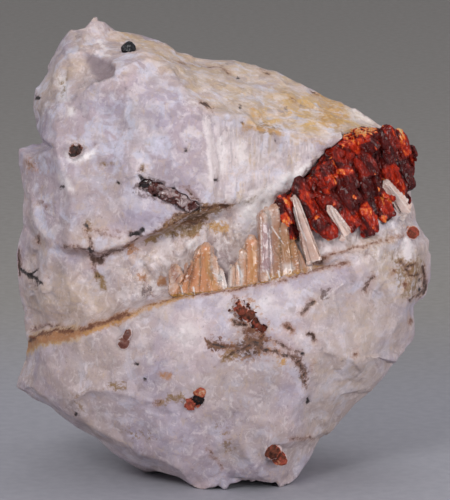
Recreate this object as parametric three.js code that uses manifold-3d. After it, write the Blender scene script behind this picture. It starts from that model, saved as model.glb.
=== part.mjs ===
// Gerstmannite and zincite on matrix: a loose block of pale vein rock that stands on its broken foot.
// Millimetres, +Z up. The vein faces -Y, and the origin is under the middle of the block, on the surface
// that it stands on. Each crystal or grain is seated in a socket of the rock with a thin gap round it.
import * as THREE from "three";
import { ConvexGeometry } from "three/addons/geometries/ConvexGeometry.js";
import { SimplexNoise } from "three/addons/math/SimplexNoise.js";
import { mergeVertices } from "three/addons/utils/BufferGeometryUtils.js";
import Module from "manifold-3d";

const wasm = await Module();
wasm.setup();

// Driving dimensions, in millimetres.
const SOCKET_GAP = 0.3; // clear space between a crystal and the rock round it
const LINE_STEP = 3.0; // spacing of the points along a ridge or an edge of the block
const FACET_EDGE = 5.7; // longest edge of a chipped facet
const CHIP_HEIGHT = 0.32; // how far the chipped facets rise and fall
const CHIP_SPAN = 4.2; // distance over which they do
const FINE_CHIP_HEIGHT = 0.16;
const FINE_CHIP_SPAN = 1.7;
const FRONT_SLOPE = 0.18; // the front is laid out flat along a line that falls this much per millimetre
const BACK_SLOPE = 0.5; // and the back and foot along one that rises this much
const NEAREST = 0.45; // points that lie closer than this when laid out flat are one point

// The edge of the block, clockwise from the peak as seen from the front: [x, y, z].
const OUTLINE = [
  [-18.5, 6, 66.5], [-15.5, 8, 64], [-12, 10, 62.5], [-9.3, 11, 61.3], [-6.5, 12, 60], [-3, 13, 59],
  [2, 13, 59], [5.5, 12.5, 58], [8.5, 12, 57], [13, 10, 55], [16.5, 8.5, 53.5], [18.5, 7, 52.6],
  [22, 5, 50.2], [25, 4, 48.5], [26.4, 3, 44], [26.8, 1.5, 40.5], [28, 0, 37], [30, 1, 34],
  [30, 1, 31.5], [29.2, 2, 26],
  [27.6, 1, 24.3], [27.7, 1, 19.5], [26.4, 0, 18], [21, -1, 12], [17, -2, 8], [14, -3, 5.4], [12.4, -5, 3],
  [10.4, -8, 0.7], [8, -11, -0.6], [4.6, -11.6, 0.5], [0.8, -12, 0.3], [-2.5, -12, -0.5], [-6.5, -10, 1.4],
  [-10, -9, 2.1], [-14, -8, 3.5], [-18.5, -6, 6], [-23, -4, 8.8], [-27.6, -2, 11.5], [-29.9, 0, 12.5],
  [-30, 0.5, 14], [-28.7, 1, 16.5], [-28.4, 0, 19], [-28.8, 0, 22.3], [-30, 0, 29.5], [-29.9, 0, 32.2],
  [-28.9, 0, 36.4], [-29.2, 0, 41], [-29.5, 1, 47.2], [-26.1, 2, 48], [-27.4, 3, 52.8], [-27, 3, 55.2],
  [-25.4, 4, 58.3], [-23.6, 5, 62.4], [-22.2, 5, 64], [-20.3, 5, 64.8],
];

// Ridges, ledges and walls of the front, each a line of [x, y, z] points.
const FRONT_LINES = {
  peakRidge: [[-19.6, 3, 64], [-20.3, 0, 62.6], [-20.8, -3.4, 60.4]],
  shelfFoot: [
    [-24.2, -3, 56.6], [-21, -4.5, 57.8], [-19, -4.4, 58.8], [-17, -3, 60.6], [-14.6, -2.4, 61.6],
  ],
  shelfLip: [
    [-25.3, -6, 54], [-23.6, -8, 55.3], [-19.6, -10, 57.6], [-16.8, -10.2, 59.7], [-14.9, -10.2, 61],
  ],
  panelStepLeft: [[-14.6, -10.6, 59.4], [-14.4, -11.4, 54], [-14.3, -12.1, 48], [-14.2, -12.5, 41.4]],
  panelStepRight: [[-13.8, -11.8, 59.4], [-13.6, -13, 54], [-13.5, -13.8, 48], [-13.5, -14.1, 41.4]],
  topLip: [
    [-12.8, -8.6, 61.4], [-10.6, -5.4, 61.5], [-7.7, -8, 59.6], [-4.8, -11, 56.5], [-1.2, -12, 54.2],
    [3.2, -11, 53.4], [5, -11.2, 51.9], [9.7, -10, 51], [14, -9.5, 50.2], [17.7, -8, 50.2], [20.6, -6, 50],
  ],
  topFold: [
    [-10.8, 2, 62], [-7.4, 1.6, 60.2], [-3.3, 0, 58.2], [4, 1, 56.2], [12.6, 0, 53.2], [18.4, -1, 51.2],
  ],
  panelCorner: [
    [-3.4, -13, 54.4], [-2.5, -13.6, 52], [-1.8, -14, 48.5], [-1.5, -14, 45], [-1.9, -13.9, 42.2],
  ],
  columnFoot: [[-1.5, -11.8, 52], [-0.8, -12.1, 48.5], [-0.5, -12.2, 45], [-0.8, -12.5, 42.4]],
  upperWallLip: [
    [-27.5, -5.4, 34.6], [-24.6, -9.6, 35], [-21.9, -12, 35.2], [-18, -12.6, 34.6], [-14.2, -13.4, 35.6],
    [-8.7, -14, 38.2], [-4.8, -14, 40.2], [1, -12.8, 41.2], [5.7, -11.8, 43.4], [9.6, -11, 45],
  ],
  upperWallFoot: [
    [-22.5, -9.3, 33.8], [-18, -10, 33.3], [-14.2, -10.6, 34.2], [-8.7, -10.7, 36.8], [-4.8, -10.8, 38.9],
    [1, -10.2, 40], [5.7, -9.5, 42.2],
  ],
  lowerWallFoot: [
    [-25, -5.4, 22.8], [-21, -9.2, 24], [-18, -10.4, 25.4], [-13.2, -11.2, 27.7], [-7.7, -11.8, 29.4],
    [-1.9, -12.2, 30.4], [5.7, -12.2, 31.9], [11.2, -11.8, 33.2], [17.7, -10.2, 34.4],
  ],
  lowerWallLip: [
    [-28, -3.6, 20.6], [-25, -8.4, 21], [-21, -12.2, 22.2], [-18, -13.2, 23.8], [-13.2, -14.2, 26.2],
    [-7.7, -14.8, 28], [-1.9, -15.2, 29], [5.7, -15.2, 30.5], [11.2, -14.6, 31.8], [17.7, -12.6, 33],
    [22, -9.6, 34.3], [25.7, -6, 35.7],
  ],
  facetHead: [[11.2, -17, 26.2], [13.4, -16, 28.4], [17, -14.2, 30.4], [21.5, -11, 30]],
  facetFoot: [[10.8, -16.6, 22.6], [14, -15.4, 20.8], [17.7, -14, 19.6], [21.6, -10.4, 19]],
  facetTip: [[24.2, -5.4, 19.4], [24.6, -5.6, 17.4], [21, -6.6, 13.6]],
  arcLedgeTop: [
    [-21.5, -12.9, 13.6], [-19, -14.2, 15], [-16, -15.2, 15.3], [-13.6, -15.8, 14.8], [-11.3, -16.2, 13.9],
  ],
  arcLedgeFoot: [
    [-21.3, -12, 12.7], [-18.9, -13.2, 14], [-16, -14.2, 14.2], [-13.5, -14.8, 13.7], [-11.2, -15.3, 12.8],
  ],
  leftRim: [
    [-27.6, -5.6, 13.6], [-23, -8.6, 10.8], [-17.8, -11.6, 8.4], [-12, -12.8, 5.4], [-6.4, -13.6, 3.6],
  ],
  footCrease: [[-2.6, -15.2, 7.4], [-1.2, -14, 5], [-0.2, -13, 2.8]],
  rightFold: [[9.4, -13.6, 7.4], [12, -10, 7.2], [14.2, -6.6, 7]],
  rightFoldFoot: [[9.2, -12, 6.1], [11.8, -8.6, 5.8]],
};

// Single high and low spots of the front.
const FRONT_SPOTS = [
  [-23.4, -2.4, 59.6], [-22.6, 1, 61.8], [-17.6, 3.6, 62.2], [-15, 4.4, 62.6], [-18, -0.5, 61],
  [-25.8, -7, 50], [-23.6, -10, 49], [-27.6, -4, 46.2], [-21.5, -11.5, 41.8], [-27.3, -6, 40.8],
  [-18.4, -11.6, 52], [-9, -13.4, 56], [-8, -14.4, 48], [3.4, -10.9, 47.6], [4.6, -11.4, 44.8],
  [9, -10.2, 47.8], [14, -9.6, 47], [-3.6, 7, 58.8], [6, 7, 57.2], [14.6, 4.4, 52.9],
  [-26, -7, 28], [-22, -10, 29], [-12, -10.8, 31.4], [-4, -11.2, 34.6], [5, -11.2, 37], [13, -10.6, 39],
  [19, -8.6, 41.5], [23.5, -5.6, 42], [24.2, -7, 33], [27.6, -4.4, 33.6], [27.2, -5, 28.6], [26, -6, 24.4],
  [-25.4, -8.6, 17.4], [-19.6, -12.4, 18.6], [-15.4, -15.2, 20.6], [-10.6, -16.8, 19.4], [-5, -17.2, 24],
  [-1.9, -17.6, 22], [5, -17.4, 26], [8, -17.6, 19.6], [-16.4, -12.8, 11], [-6.2, -16.6, 11.6],
  [3.4, -17.2, 13.6], [11, -14.8, 14.2], [16.4, -9.6, 13.2], [-8, -15, 7.6], [4.6, -14.6, 3.4],
  [6.8, -15.6, 7.4], [2.2, -16, 8.6],
];

// Ledges and ridges of the broken back.
const BACK_LINES = {
  upperLedgeTop: [[-21, 13, 50], [-14, 19.6, 48.6], [-6, 22.6, 49.4], [3, 22.8, 47], [11, 21, 46]],
  upperLedgeFoot: [[-20.6, 11.4, 48.6], [-14, 17.8, 47], [-6, 20.6, 47.8], [3, 21, 45.4], [11, 19, 44.4]],
  middleRidge: [[-20, 14.6, 36], [-12, 20.4, 33.6], [-3, 24.4, 34.2], [6, 24.2, 31], [15, 20, 29.4]],
  lowerLedgeTop: [[-18, 15, 22.6], [-9, 20.6, 20.4], [0, 22.8, 18.6], [8, 20.6, 18]],
  lowerLedgeFoot: [[-17.6, 13.4, 21], [-9, 18.8, 18.8], [0, 20.8, 17], [8, 18.6, 16.4]],
};

// Single spots of the back and the foot; the foot is cut flat where the block stands.
const BACK_SPOTS = [
  [-17, 12, 60], [-13, 17, 55], [-3, 20.5, 53], [8, 19.5, 50.4], [17, 15, 46], [22.5, 10, 43.6],
  [-22.6, 9.6, 54], [-24.5, 9.4, 44], [-13, 20.6, 42], [-1, 23.5, 40], [10.5, 22, 37.5], [20.6, 15.6, 33],
  [25.8, 9.4, 31], [-25.6, 8.6, 30], [-17.6, 17.4, 29], [-4, 22.8, 26], [9.5, 21.4, 23.4], [20, 14, 21],
  [-23.6, 7.4, 18], [-15, 15.4, 15], [1, 20, 12.6], [13, 14, 10.4], [-16.6, 6.4, 6.6], [-11.8, 3, -0.6],
  [-10.6, 10.6, -0.6], [-1, 13.6, -0.7], [8.4, 11.4, -0.6], [10.6, 1.6, -0.6], [13.8, 6, 5], [-2, 0, -1.2],
  [-18.6, 0, 6.4], [22, 6, 13.4],
];

// ---- Small tools: seeded chance, solids, and a sheet of triangles over a closed outline ----

function seededChance(seed) {
  let state = seed;
  return () => {
    state = (state * 1664525 + 1013904223) % 4294967296;
    return state / 4294967296;
  };
}

function solidOf(geometry) {
  const bare = geometry.clone();
  bare.deleteAttribute("normal");
  bare.deleteAttribute("uv");
  const merged = mergeVertices(bare, 1e-4);
  return new wasm.Manifold(
    new wasm.Mesh({
      numProp: 3,
      vertProperties: merged.getAttribute("position").array,
      triVerts: new Uint32Array(merged.index.array),
    }),
  );
}

function geometryOf(solid) {
  const mesh = solid.getMesh();
  const geometry = new THREE.BufferGeometry();
  geometry.setAttribute("position", new THREE.BufferAttribute(mesh.vertProperties, 3));
  geometry.setIndex(new THREE.BufferAttribute(mesh.triVerts, 1));
  geometry.computeVertexNormals();
  return geometry;
}

const joined = (solids) => solids.reduce((whole, solid) => whole.add(solid));
const hullOf = (points) => solidOf(new ConvexGeometry(points));

// The corners of small cubes round the points, so that their hull stands off from the points' own hull.
function padded(points, gap) {
  if (gap === 0) return points;
  const signs = [-gap, gap];
  return points.flatMap(({ x, y, z }) =>
    signs.flatMap((i) => signs.flatMap((j) => signs.map((k) => new THREE.Vector3(x + i, y + j, z + k)))),
  );
}

// Points along a line, with the longer stretches divided.
function divided(line, closed) {
  const points = [];
  const stretches = closed ? line.length : line.length - 1;
  for (let i = 0; i < stretches; i += 1) {
    const from = new THREE.Vector3(...line[i]);
    const to = new THREE.Vector3(...line[(i + 1) % line.length]);
    const steps = Math.ceil(from.distanceTo(to) / LINE_STEP);
    for (let k = 0; k < steps; k += 1) points.push(from.clone().lerp(to, k / steps));
  }
  if (!closed) points.push(new THREE.Vector3(...line.at(-1)));
  return points;
}

// Where a point of the block lies when it is laid out flat along a slanting line of sight.
const flatten = (point, slope) => new THREE.Vector2(point.x, point.z + point.y * slope);
const turn = (a, b, c) => (b.x - a.x) * (c.y - a.y) - (b.y - a.y) * (c.x - a.x);

function insideCircle(a, b, c, point) {
  const [ax, ay, bx, by] = [a.x - point.x, a.y - point.y, b.x - point.x, b.y - point.y];
  const [cx, cy] = [c.x - point.x, c.y - point.y];
  const [aa, bb, cc] = [ax * ax + ay * ay, bx * bx + by * by, cx * cx + cy * cy];
  return ax * (by * cc - bb * cy) - ay * (bx * cc - bb * cx) + aa * (bx * cy - by * cx) > 1e-9;
}

// Turns the shared side of two triangles wherever that makes them less thin. Returns whether any turned.
function turnSides(triangles, flat) {
  const owner = new Map();
  for (const [index, triangle] of triangles.entries()) {
    for (let k = 0; k < 3; k += 1) {
      const [a, b, c] = [triangle[k], triangle[(k + 1) % 3], triangle[(k + 2) % 3]];
      const other = owner.get(`${b},${a}`);
      owner.set(`${a},${b}`, { index, tip: c });
      if (!other || !insideCircle(flat[a], flat[b], flat[c], flat[other.tip])) continue;
      if (turn(flat[c], flat[a], flat[other.tip]) <= 0) continue;
      if (turn(flat[c], flat[other.tip], flat[b]) <= 0) continue;
      triangles[index] = [c, a, other.tip];
      triangles[other.index] = [c, other.tip, b];
      return true;
    }
  }
  return false;
}

// Triangles over a ring of points and the points inside it. Each side of the ring stays a side of the sheet.
function sheetOf(flat, ringCount) {
  const triangles = THREE.ShapeUtils.triangulateShape(flat.slice(0, ringCount), []).map(([a, b, c]) =>
    turn(flat[a], flat[b], flat[c]) > 0 ? [a, b, c] : [a, c, b],
  );
  for (let p = ringCount; p < flat.length; p += 1) {
    const holds = (a, b) => turn(flat[a], flat[b], flat[p]) > 0;
    const at = triangles.findIndex(([a, b, c]) => holds(a, b) && holds(b, c) && holds(c, a));
    if (at < 0) throw new Error(`point ${flat[p].toArray()} lies outside the outline or on a side`);
    const [a, b, c] = triangles[at];
    triangles.splice(at, 1, [a, b, p], [b, c, p], [c, a, p]);
    while (turnSides(triangles, flat));
  }
  return triangles;
}

// ---- The rock ----

// The points of `more` that keep their distance from those already in `points`, added to them.
function addApart(points, more, slope) {
  for (const point of more) {
    const clear = points.every((other) => flatten(other, slope).distanceTo(flatten(point, slope)) > NEAREST);
    if (clear) points.push(point);
  }
  return points;
}

const rotated = ([a, b, c], k) => [[a, b, c], [b, c, a], [c, a, b]][k];

// Splits each side longer than a facet at its middle, for all the triangles that share it.
function splitLongSides(points, triangles) {
  const middles = new Map();
  const middle = (a, b) => {
    const key = a < b ? `${a},${b}` : `${b},${a}`;
    if (!middles.has(key)) {
      const long = points[a].distanceTo(points[b]) > FACET_EDGE;
      middles.set(key, long ? points.push(points[a].clone().lerp(points[b], 0.5)) - 1 : -1);
    }
    return middles.get(key);
  };
  return triangles.flatMap((triangle) => {
    const cuts = [0, 1, 2].map((k) => middle(triangle[k], triangle[(k + 1) % 3]));
    const count = cuts.filter((cut) => cut >= 0).length;
    if (count === 0) return [triangle];
    const afterWhole = (cuts.findIndex((cut) => cut < 0) + 1) % 3;
    const start = count === 1 ? cuts.findIndex((cut) => cut >= 0) : afterWhole;
    const [a, b, c] = rotated(triangle, start);
    const [ab, bc, ca] = rotated(cuts, start);
    if (count === 1) return [[a, ab, c], [ab, b, c]];
    if (count === 2) return [[ab, b, bc], [a, ab, bc], [a, bc, c]];
    return [[a, ab, ca], [ab, b, bc], [ca, bc, c], [ab, bc, ca]];
  });
}

// Moves every point in or out along its normal, so that the facets look chipped and not planed.
function chip(geometry) {
  const noise = new SimplexNoise({ random: seededChance(11) });
  const position = geometry.getAttribute("position");
  const normal = geometry.getAttribute("normal");
  const point = new THREE.Vector3();
  const outward = new THREE.Vector3();
  for (let i = 0; i < position.count; i += 1) {
    point.fromBufferAttribute(position, i);
    outward.fromBufferAttribute(normal, i);
    const broad = noise.noise3d(point.x / CHIP_SPAN, point.y / CHIP_SPAN, point.z / CHIP_SPAN);
    const fine = noise.noise3d(point.x / FINE_CHIP_SPAN, point.y / FINE_CHIP_SPAN, point.z / FINE_CHIP_SPAN);
    point.addScaledVector(outward, CHIP_HEIGHT * broad + FINE_CHIP_HEIGHT * fine);
    position.setXYZ(i, point.x, point.y, point.z);
  }
}

const vectors = (list) => list.map((point) => new THREE.Vector3(...point));

// One side of the block: the outline, then the points of that side, with the triangles over them.
function side(outline, inner, slope) {
  const points = addApart([...outline], inner, slope);
  const flat = points.map((point) => flatten(point, slope));
  return { points, triangles: sheetOf(flat, outline.length) };
}

function blockSolid() {
  const outline = divided(OUTLINE, true);
  const lines = Object.values(FRONT_LINES).flatMap((line) => divided(line, false));
  const front = side(outline, [...lines, ...vectors(FRONT_SPOTS)], FRONT_SLOPE);
  const ledges = Object.values(BACK_LINES).flatMap((line) => divided(line, false));
  const back = side(outline, [...ledges, ...vectors(BACK_SPOTS)], BACK_SLOPE);
  const shift = front.points.length - outline.length;
  const points = [...front.points, ...back.points.slice(outline.length)];
  const backTriangles = back.triangles.map((triangle) =>
    triangle.map((i) => (i < outline.length ? i : i + shift)).reverse(),
  );

  let triangles = [...front.triangles, ...backTriangles];
  let before = 0;
  while (triangles.length !== before) {
    before = triangles.length;
    triangles = splitLongSides(points, triangles);
  }
  const geometry = new THREE.BufferGeometry().setFromPoints(points);
  geometry.setIndex(triangles.flat());
  geometry.computeVertexNormals();
  chip(geometry);
  const ground = new THREE.BoxGeometry(200, 200, 20).translate(0, 0, -10);
  return solidOf(geometry).subtract(solidOf(ground));
}

// ---- Crystals and grains ----

// Every maker of a crystal takes `gap`, by which it stands off on all sides, so that the same call with the
// socket gap makes the socket.

const UP = new THREE.Vector3(0, 0, 1);
const AWAY = new THREE.Vector3(0, 1, 0);

// A flat prism that narrows to its shoulder by `taper` and ends in a chisel edge. `turned` turns it about its
// length, in degrees.
const SHOULDER = 0.55; // height of the chisel end over the width of the blade
const CHISEL = { left: 0.45, right: 0.2, deep: 0.2 }; // corners of its edge over half the width and depth

function blade({ foot, tip, width, thick, taper = 0.94, turned = 0 }, gap = 0) {
  const from = new THREE.Vector3(...foot);
  const to = new THREE.Vector3(...tip);
  const along = to.clone().sub(from).normalize();
  const across = along.clone().cross(AWAY).normalize();
  across.applyAxisAngle(along, THREE.MathUtils.degToRad(turned));
  const through = across.clone().cross(along);
  const corner = (centre, wide, deep) =>
    centre.clone().addScaledVector(across, wide).addScaledVector(through, deep);
  const rectangle = (centre, wide, deep) => [
    corner(centre, -wide, -deep),
    corner(centre, wide, -deep),
    corner(centre, wide, deep),
    corner(centre, -wide, deep),
  ];
  const start = from.clone().addScaledVector(along, -gap);
  const shoulder = to.clone().addScaledVector(along, gap - SHOULDER * taper * width);
  const end = to.clone().addScaledVector(along, gap);
  const [halfWidth, halfThick] = [width / 2 + gap, thick / 2 + gap];
  const topWidth = (taper * width) / 2 + gap;
  return hullOf([
    ...rectangle(start, halfWidth, halfThick),
    ...rectangle(shoulder, topWidth, halfThick),
    corner(end, -topWidth * CHISEL.left, -halfThick * CHISEL.deep),
    corner(end, topWidth * CHISEL.right, halfThick * CHISEL.deep),
  ]);
}

// A rough many-sided lump: a dodecahedron whose corners are pushed in by chance, up to `LUMP_ROUGHNESS`.
const LUMP_ROUGHNESS = 0.22;

function lump({ at, size, turned = 0 }, gap = 0) {
  const chance = seededChance(Math.round(Math.abs(at[0] * 131 + at[2] * 17) + 3));
  const ball = new THREE.DodecahedronGeometry(1).deleteAttribute("normal").deleteAttribute("uv");
  const position = mergeVertices(ball).getAttribute("position");
  const half = size.map((length) => length / 2 + gap);
  const corners = [];
  for (let i = 0; i < position.count; i += 1) {
    const corner = new THREE.Vector3().fromBufferAttribute(position, i);
    corner.multiplyScalar(1 - LUMP_ROUGHNESS * chance()).multiply(new THREE.Vector3(...half));
    corner.applyAxisAngle(AWAY, THREE.MathUtils.degToRad(turned)).add(new THREE.Vector3(...at));
    corners.push(corner);
  }
  return hullOf(corners);
}

// The red zincite: stations along the mass, from its thin left end round the right end of the block. At each
// are the depth of its face and the heights of its lower and upper edge.
const ZINCITE_STATIONS = [
  { x: 8.8, y: -11.6, low: 37.4, high: 42.2 },
  { x: 11.4, y: -12, low: 37.6, high: 44.4 },
  { x: 14, y: -11.6, low: 37.2, high: 46.4 },
  { x: 17, y: -10.6, low: 38.2, high: 49.2 },
  { x: 20, y: -9.2, low: 37.6, high: 51 },
  { x: 23, y: -6.8, low: 39, high: 51.6 },
  { x: 25.2, y: -4.2, low: 40.4, high: 50.6 },
  { x: 26.5, y: -1.2, low: 41.6, high: 49 },
];
const ZINCITE_CORE_DEPTH = 3.2; // of the solid root behind the plates
const CORE_NARROWING = 0.25; // how much of its width the root loses from front to back
const CORE_INSET = 0.5; // how far it stays inside the upper and lower edge of the mass
const PLATE = { length: 4, width: 2.3, thick: 1.25 }; // one zincite plate
const PLATE_ROW = 2.7; // height between two rows of plates
const PLATE_LEAN = new THREE.Vector3(0.5, 0.08, -0.86).normalize(); // the plates slant down to the right

// The root of the mass, which narrows towards the back.
function zinciteCore(gap) {
  const ends = ZINCITE_STATIONS.map(({ x, y, low, high }) =>
    [low + CORE_INSET, high - CORE_INSET].flatMap((z) => [
      new THREE.Vector3(x, y - 0.1, z),
      new THREE.Vector3(x - CORE_NARROWING * (x - ZINCITE_STATIONS[0].x), y + ZINCITE_CORE_DEPTH, z),
    ]),
  );
  return joined(ends.slice(1).map((end, i) => hullOf(padded([...ends[i], ...end], gap))));
}

function zincitePlates(gap) {
  const chance = seededChance(29);
  const spread = (range) => (chance() - 0.5) * range;
  const plates = [];
  for (const { x, y, low, high } of ZINCITE_STATIONS) {
    const rows = Math.round((high - low) / PLATE_ROW);
    for (let row = 0; row < rows; row += 1) {
      const z = low + ((row + 0.5) / rows) * (high - low) + spread(0.8);
      const centre = new THREE.Vector3(x + spread(0.9), y - 0.25 + spread(0.9), z);
      const lean = PLATE_LEAN.clone().applyAxisAngle(AWAY, spread(0.7));
      const half = (PLATE.length / 2) * (0.8 + 0.4 * chance());
      plates.push(
        blade({
          foot: centre.clone().addScaledVector(lean, half).toArray(),
          tip: centre.clone().addScaledVector(lean, -half).toArray(),
          width: PLATE.width * (0.8 + 0.4 * chance()),
          thick: PLATE.thick,
          turned: 18 + spread(56),
        }, gap),
      );
    }
  }
  return plates;
}

const zinciteMass = (gap = 0) => joined([zinciteCore(gap), ...zincitePlates(gap)]);

// The gerstmannite sprays on the lower wall of the vein: blades side by side, grown together at the foot.
const SPRAYS = {
  gerstmannite_spray_left: [
    { foot: [-6.5, -13.1, 29], tip: [-7, -12.4, 32.4], width: 1.5, thick: 1.4, taper: 0.6, turned: 12 },
    { foot: [-5.2, -13.2, 28.9], tip: [-3.8, -12.5, 33.2], width: 1.6, thick: 1.5, taper: 0.5, turned: -10 },
    { foot: [-3.9, -13.3, 29.1], tip: [-3.1, -12.7, 35], width: 1.7, thick: 1.6, taper: 0.5, turned: 10 },
    { foot: [-2.6, -13.4, 29.2], tip: [-2.5, -12.8, 35.6], width: 1.7, thick: 1.6, taper: 0.5, turned: -12 },
    { foot: [-1.4, -13.5, 29.4], tip: [-1.9, -12.8, 34], width: 1.6, thick: 1.5, taper: 0.5, turned: 14 },
    { foot: [-0.4, -13.5, 29.5], tip: [-0.8, -12.7, 32], width: 1.3, thick: 1.4, taper: 0.6, turned: -8 },
  ],
  gerstmannite_spray_centre: [
    { foot: [1.5, -13.6, 29.8], tip: [1.6, -12.9, 32.6], width: 1, thick: 1.4, turned: -10 },
    { foot: [2.2, -13.6, 29.9], tip: [2.3, -12.9, 33.4], width: 1.1, thick: 1.4, turned: 12 },
    { foot: [3, -13.6, 30.1], tip: [3.1, -12.8, 35.2], width: 1.2, thick: 1.5, turned: -14 },
    { foot: [3.8, -13.6, 30.3], tip: [3.9, -12.7, 36.8], width: 1.2, thick: 1.5, turned: 10 },
  ],
  gerstmannite_spray_right: [
    { foot: [5.9, -13.6, 30.7], tip: [5.7, -12.6, 40.4], width: 1.4, thick: 1.6, taper: 0.8, turned: 14 },
    { foot: [7.2, -13.5, 30.9], tip: [7, -12.5, 41.2], width: 1.7, thick: 1.5, taper: 0.7, turned: -12 },
    { foot: [8.6, -13.3, 31.3], tip: [7.9, -12.7, 38.6], width: 1.6, thick: 1.5, taper: 0.7, turned: 12 },
    { foot: [9.8, -13.1, 31.7], tip: [9.4, -12.5, 36], width: 1.5, thick: 1.4, taper: 0.7, turned: -10 },
  ],
};
const FOOT_DEPTH = 0.7; // depth of the joined feet over the thickness of the blades
const FOOT = { below: 0.3, above: 1 }; // and their reach below and above the foot of each blade

function spray(blades, gap = 0) {
  const feet = blades.flatMap(({ foot: [x, y, z], thick }) =>
    [-thick, thick].flatMap((deep) => [
      new THREE.Vector3(x, y + (deep * FOOT_DEPTH) / 2, z - FOOT.below),
      new THREE.Vector3(x, y + (deep * FOOT_DEPTH) / 2, z + FOOT.above),
    ]),
  );
  return joined([hullOf(padded(feet, gap)), ...blades.map((one) => blade(one, gap))]);
}

// The three pale blades that stand across the red mass.
const CROSSING_BLADES = {
  gerstmannite_blade_1: {
    foot: [12.7, -13, 33.4], tip: [9.9, -13.2, 42.8], width: 2.2, thick: 1.4, taper: 0.4, turned: 6,
  },
  gerstmannite_blade_2: {
    foot: [17.4, -11.9, 37.2], tip: [14.6, -12.9, 41.2], width: 1.2, thick: 1.3, taper: 0.7, turned: -8,
  },
  gerstmannite_blade_3: {
    foot: [26, -5, 39.4], tip: [22.6, -8.2, 44], width: 1.8, thick: 1.3, taper: 0.5, turned: -20,
  },
};

// The uneven pit of the upper face, a chain of hollows, with the crust of grains that fills it.
const GARNET_PIT = [
  { at: [-10.9, -13.1, 44.4], size: [2.2, 3, 2], turned: 10 },
  { at: [-9.4, -13.4, 43.8], size: [3, 3.2, 2.2], turned: 30 },
  { at: [-7.6, -13.4, 42.8], size: [3.4, 3.2, 2.4], turned: 25 },
  { at: [-5.9, -13.4, 41.9], size: [3.2, 3.2, 2], turned: 35 },
  { at: [-4.4, -13.3, 41.2], size: [2.4, 3, 1.6], turned: 15 },
];
const CRUST_FACE = -12.8; // how far forward the crust between the grains reaches
const GARNET_GRAINS = [
  { at: [-10.9, -13.1, 44.6], size: [1.6, 1.7, 1.5] },
  { at: [-9.7, -13.1, 43.8], size: [1.8, 1.8, 1.6] },
  { at: [-8.4, -13.2, 43.3], size: [1.8, 1.9, 1.7] },
  { at: [-7.2, -13.2, 42.6], size: [1.9, 1.9, 1.7] },
  { at: [-6, -13.1, 42.1], size: [1.7, 1.8, 1.5] },
  { at: [-4.7, -13.1, 41.4], size: [1.6, 1.7, 1.3] },
];

function garnetCluster() {
  const pit = grainGroup(GARNET_PIT);
  const open = new THREE.BoxGeometry(40, 40, 40).translate(-7, CRUST_FACE - 20, 43);
  return joined([pit.subtract(solidOf(open)), grainGroup(GARNET_GRAINS)]).intersect(pit);
}

// The larger grains set in the rock, each one lump or a few grown together.
const GRAINS = {
  pit_grain: [
    { at: [-20.7, -11.3, 49], size: [1.6, 1.5, 1.4], turned: 25 },
    { at: [-21.2, -11.2, 48.5], size: [0.9, 1.2, 0.8], turned: 0 },
  ],
  teardrop_grain: [
    { at: [-14.1, -15.1, 22.1], size: [1.5, 1.4, 1.8], turned: 20 },
    { at: [-13.6, -15.2, 23.2], size: [0.9, 1.1, 1.7], turned: 30 },
  ],
  rust_grains: [
    { at: [2.1, -16.8, 27.7], size: [1.1, 1.6, 1.4], turned: 0 },
    { at: [2.6, -16.9, 27], size: [1.7, 1.7, 1.6], turned: 30 },
    { at: [3.5, -17, 26.2], size: [2.1, 1.8, 1.9], turned: 10 },
    { at: [4.5, -17, 25.3], size: [1.9, 1.7, 1.8], turned: 45 },
    { at: [5.4, -17, 24.6], size: [1.8, 1.6, 1.4], turned: 15 },
  ],
  paired_grain: [
    { at: [-3.4, -17, 15.2], size: [1.3, 1.5, 1.2], turned: 10 },
    { at: [-3.6, -17, 14.4], size: [1.2, 1.5, 1.1], turned: 0 },
    { at: [-4.5, -16.9, 13.7], size: [2.3, 1.4, 1], turned: -20 },
  ],
  foot_grain: [
    { at: [7, -15.1, 6.3], size: [2, 1.8, 2], turned: 15 },
    { at: [7.9, -14.7, 5.3], size: [1.8, 1.7, 1.8], turned: 40 },
  ],
  end_grain: [{ at: [26.9, -4.6, 36], size: [1.7, 1.7, 1.6], turned: 30 }],
};
const grainGroup = (lumps, gap = 0) => joined(lumps.map((one) => lump(one, gap)));

const FRANKLINITE = { at: [-13.6, -1.6, 62.1], across: 2.9, turned: [0.35, 0.2, 0.5], cut: 1.5 };

// An octahedron with its corners cut, lying on one of its faces.
function franklinite(gap = 0) {
  const radius = FRANKLINITE.across / 2 + gap;
  const [aboutX, aboutY, aboutZ] = FRANKLINITE.turned;
  const place = (geometry) =>
    solidOf(geometry.rotateZ(aboutZ).rotateX(aboutX).rotateY(aboutY).translate(...FRANKLINITE.at));
  const cut = radius * FRANKLINITE.cut;
  return place(new THREE.OctahedronGeometry(radius)).intersect(place(new THREE.BoxGeometry(cut, cut, cut)));
}

// ---- The specimen ----

// The largest body of a solid: slivers that a cut frees are dropped.
const whole = (solid) =>
  solid.decompose().reduce((kept, body) => (body.volume() > kept.volume() ? body : kept));

function crystals(gap = 0) {
  const made = {};
  for (const [name, blades] of Object.entries(SPRAYS)) made[name] = spray(blades, gap);
  for (const [name, one] of Object.entries(CROSSING_BLADES)) made[name] = blade(one, gap);
  for (const [name, lumps] of Object.entries(GRAINS)) made[name] = grainGroup(lumps, gap);
  made.franklinite_crystal = franklinite(gap);
  return made;
}

const seated = crystals();
const sockets = joined(Object.values(crystals(SOCKET_GAP)));
const pit = grainGroup(GARNET_PIT, SOCKET_GAP);
const rock = whole(blockSolid().subtract(sockets).subtract(zinciteMass(SOCKET_GAP)).subtract(pit));
const pieces = {
  matrix: rock,
  zincite_mass: whole(zinciteMass().subtract(sockets)),
  garnet_cluster: whole(garnetCluster()),
  ...seated,
};

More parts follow.
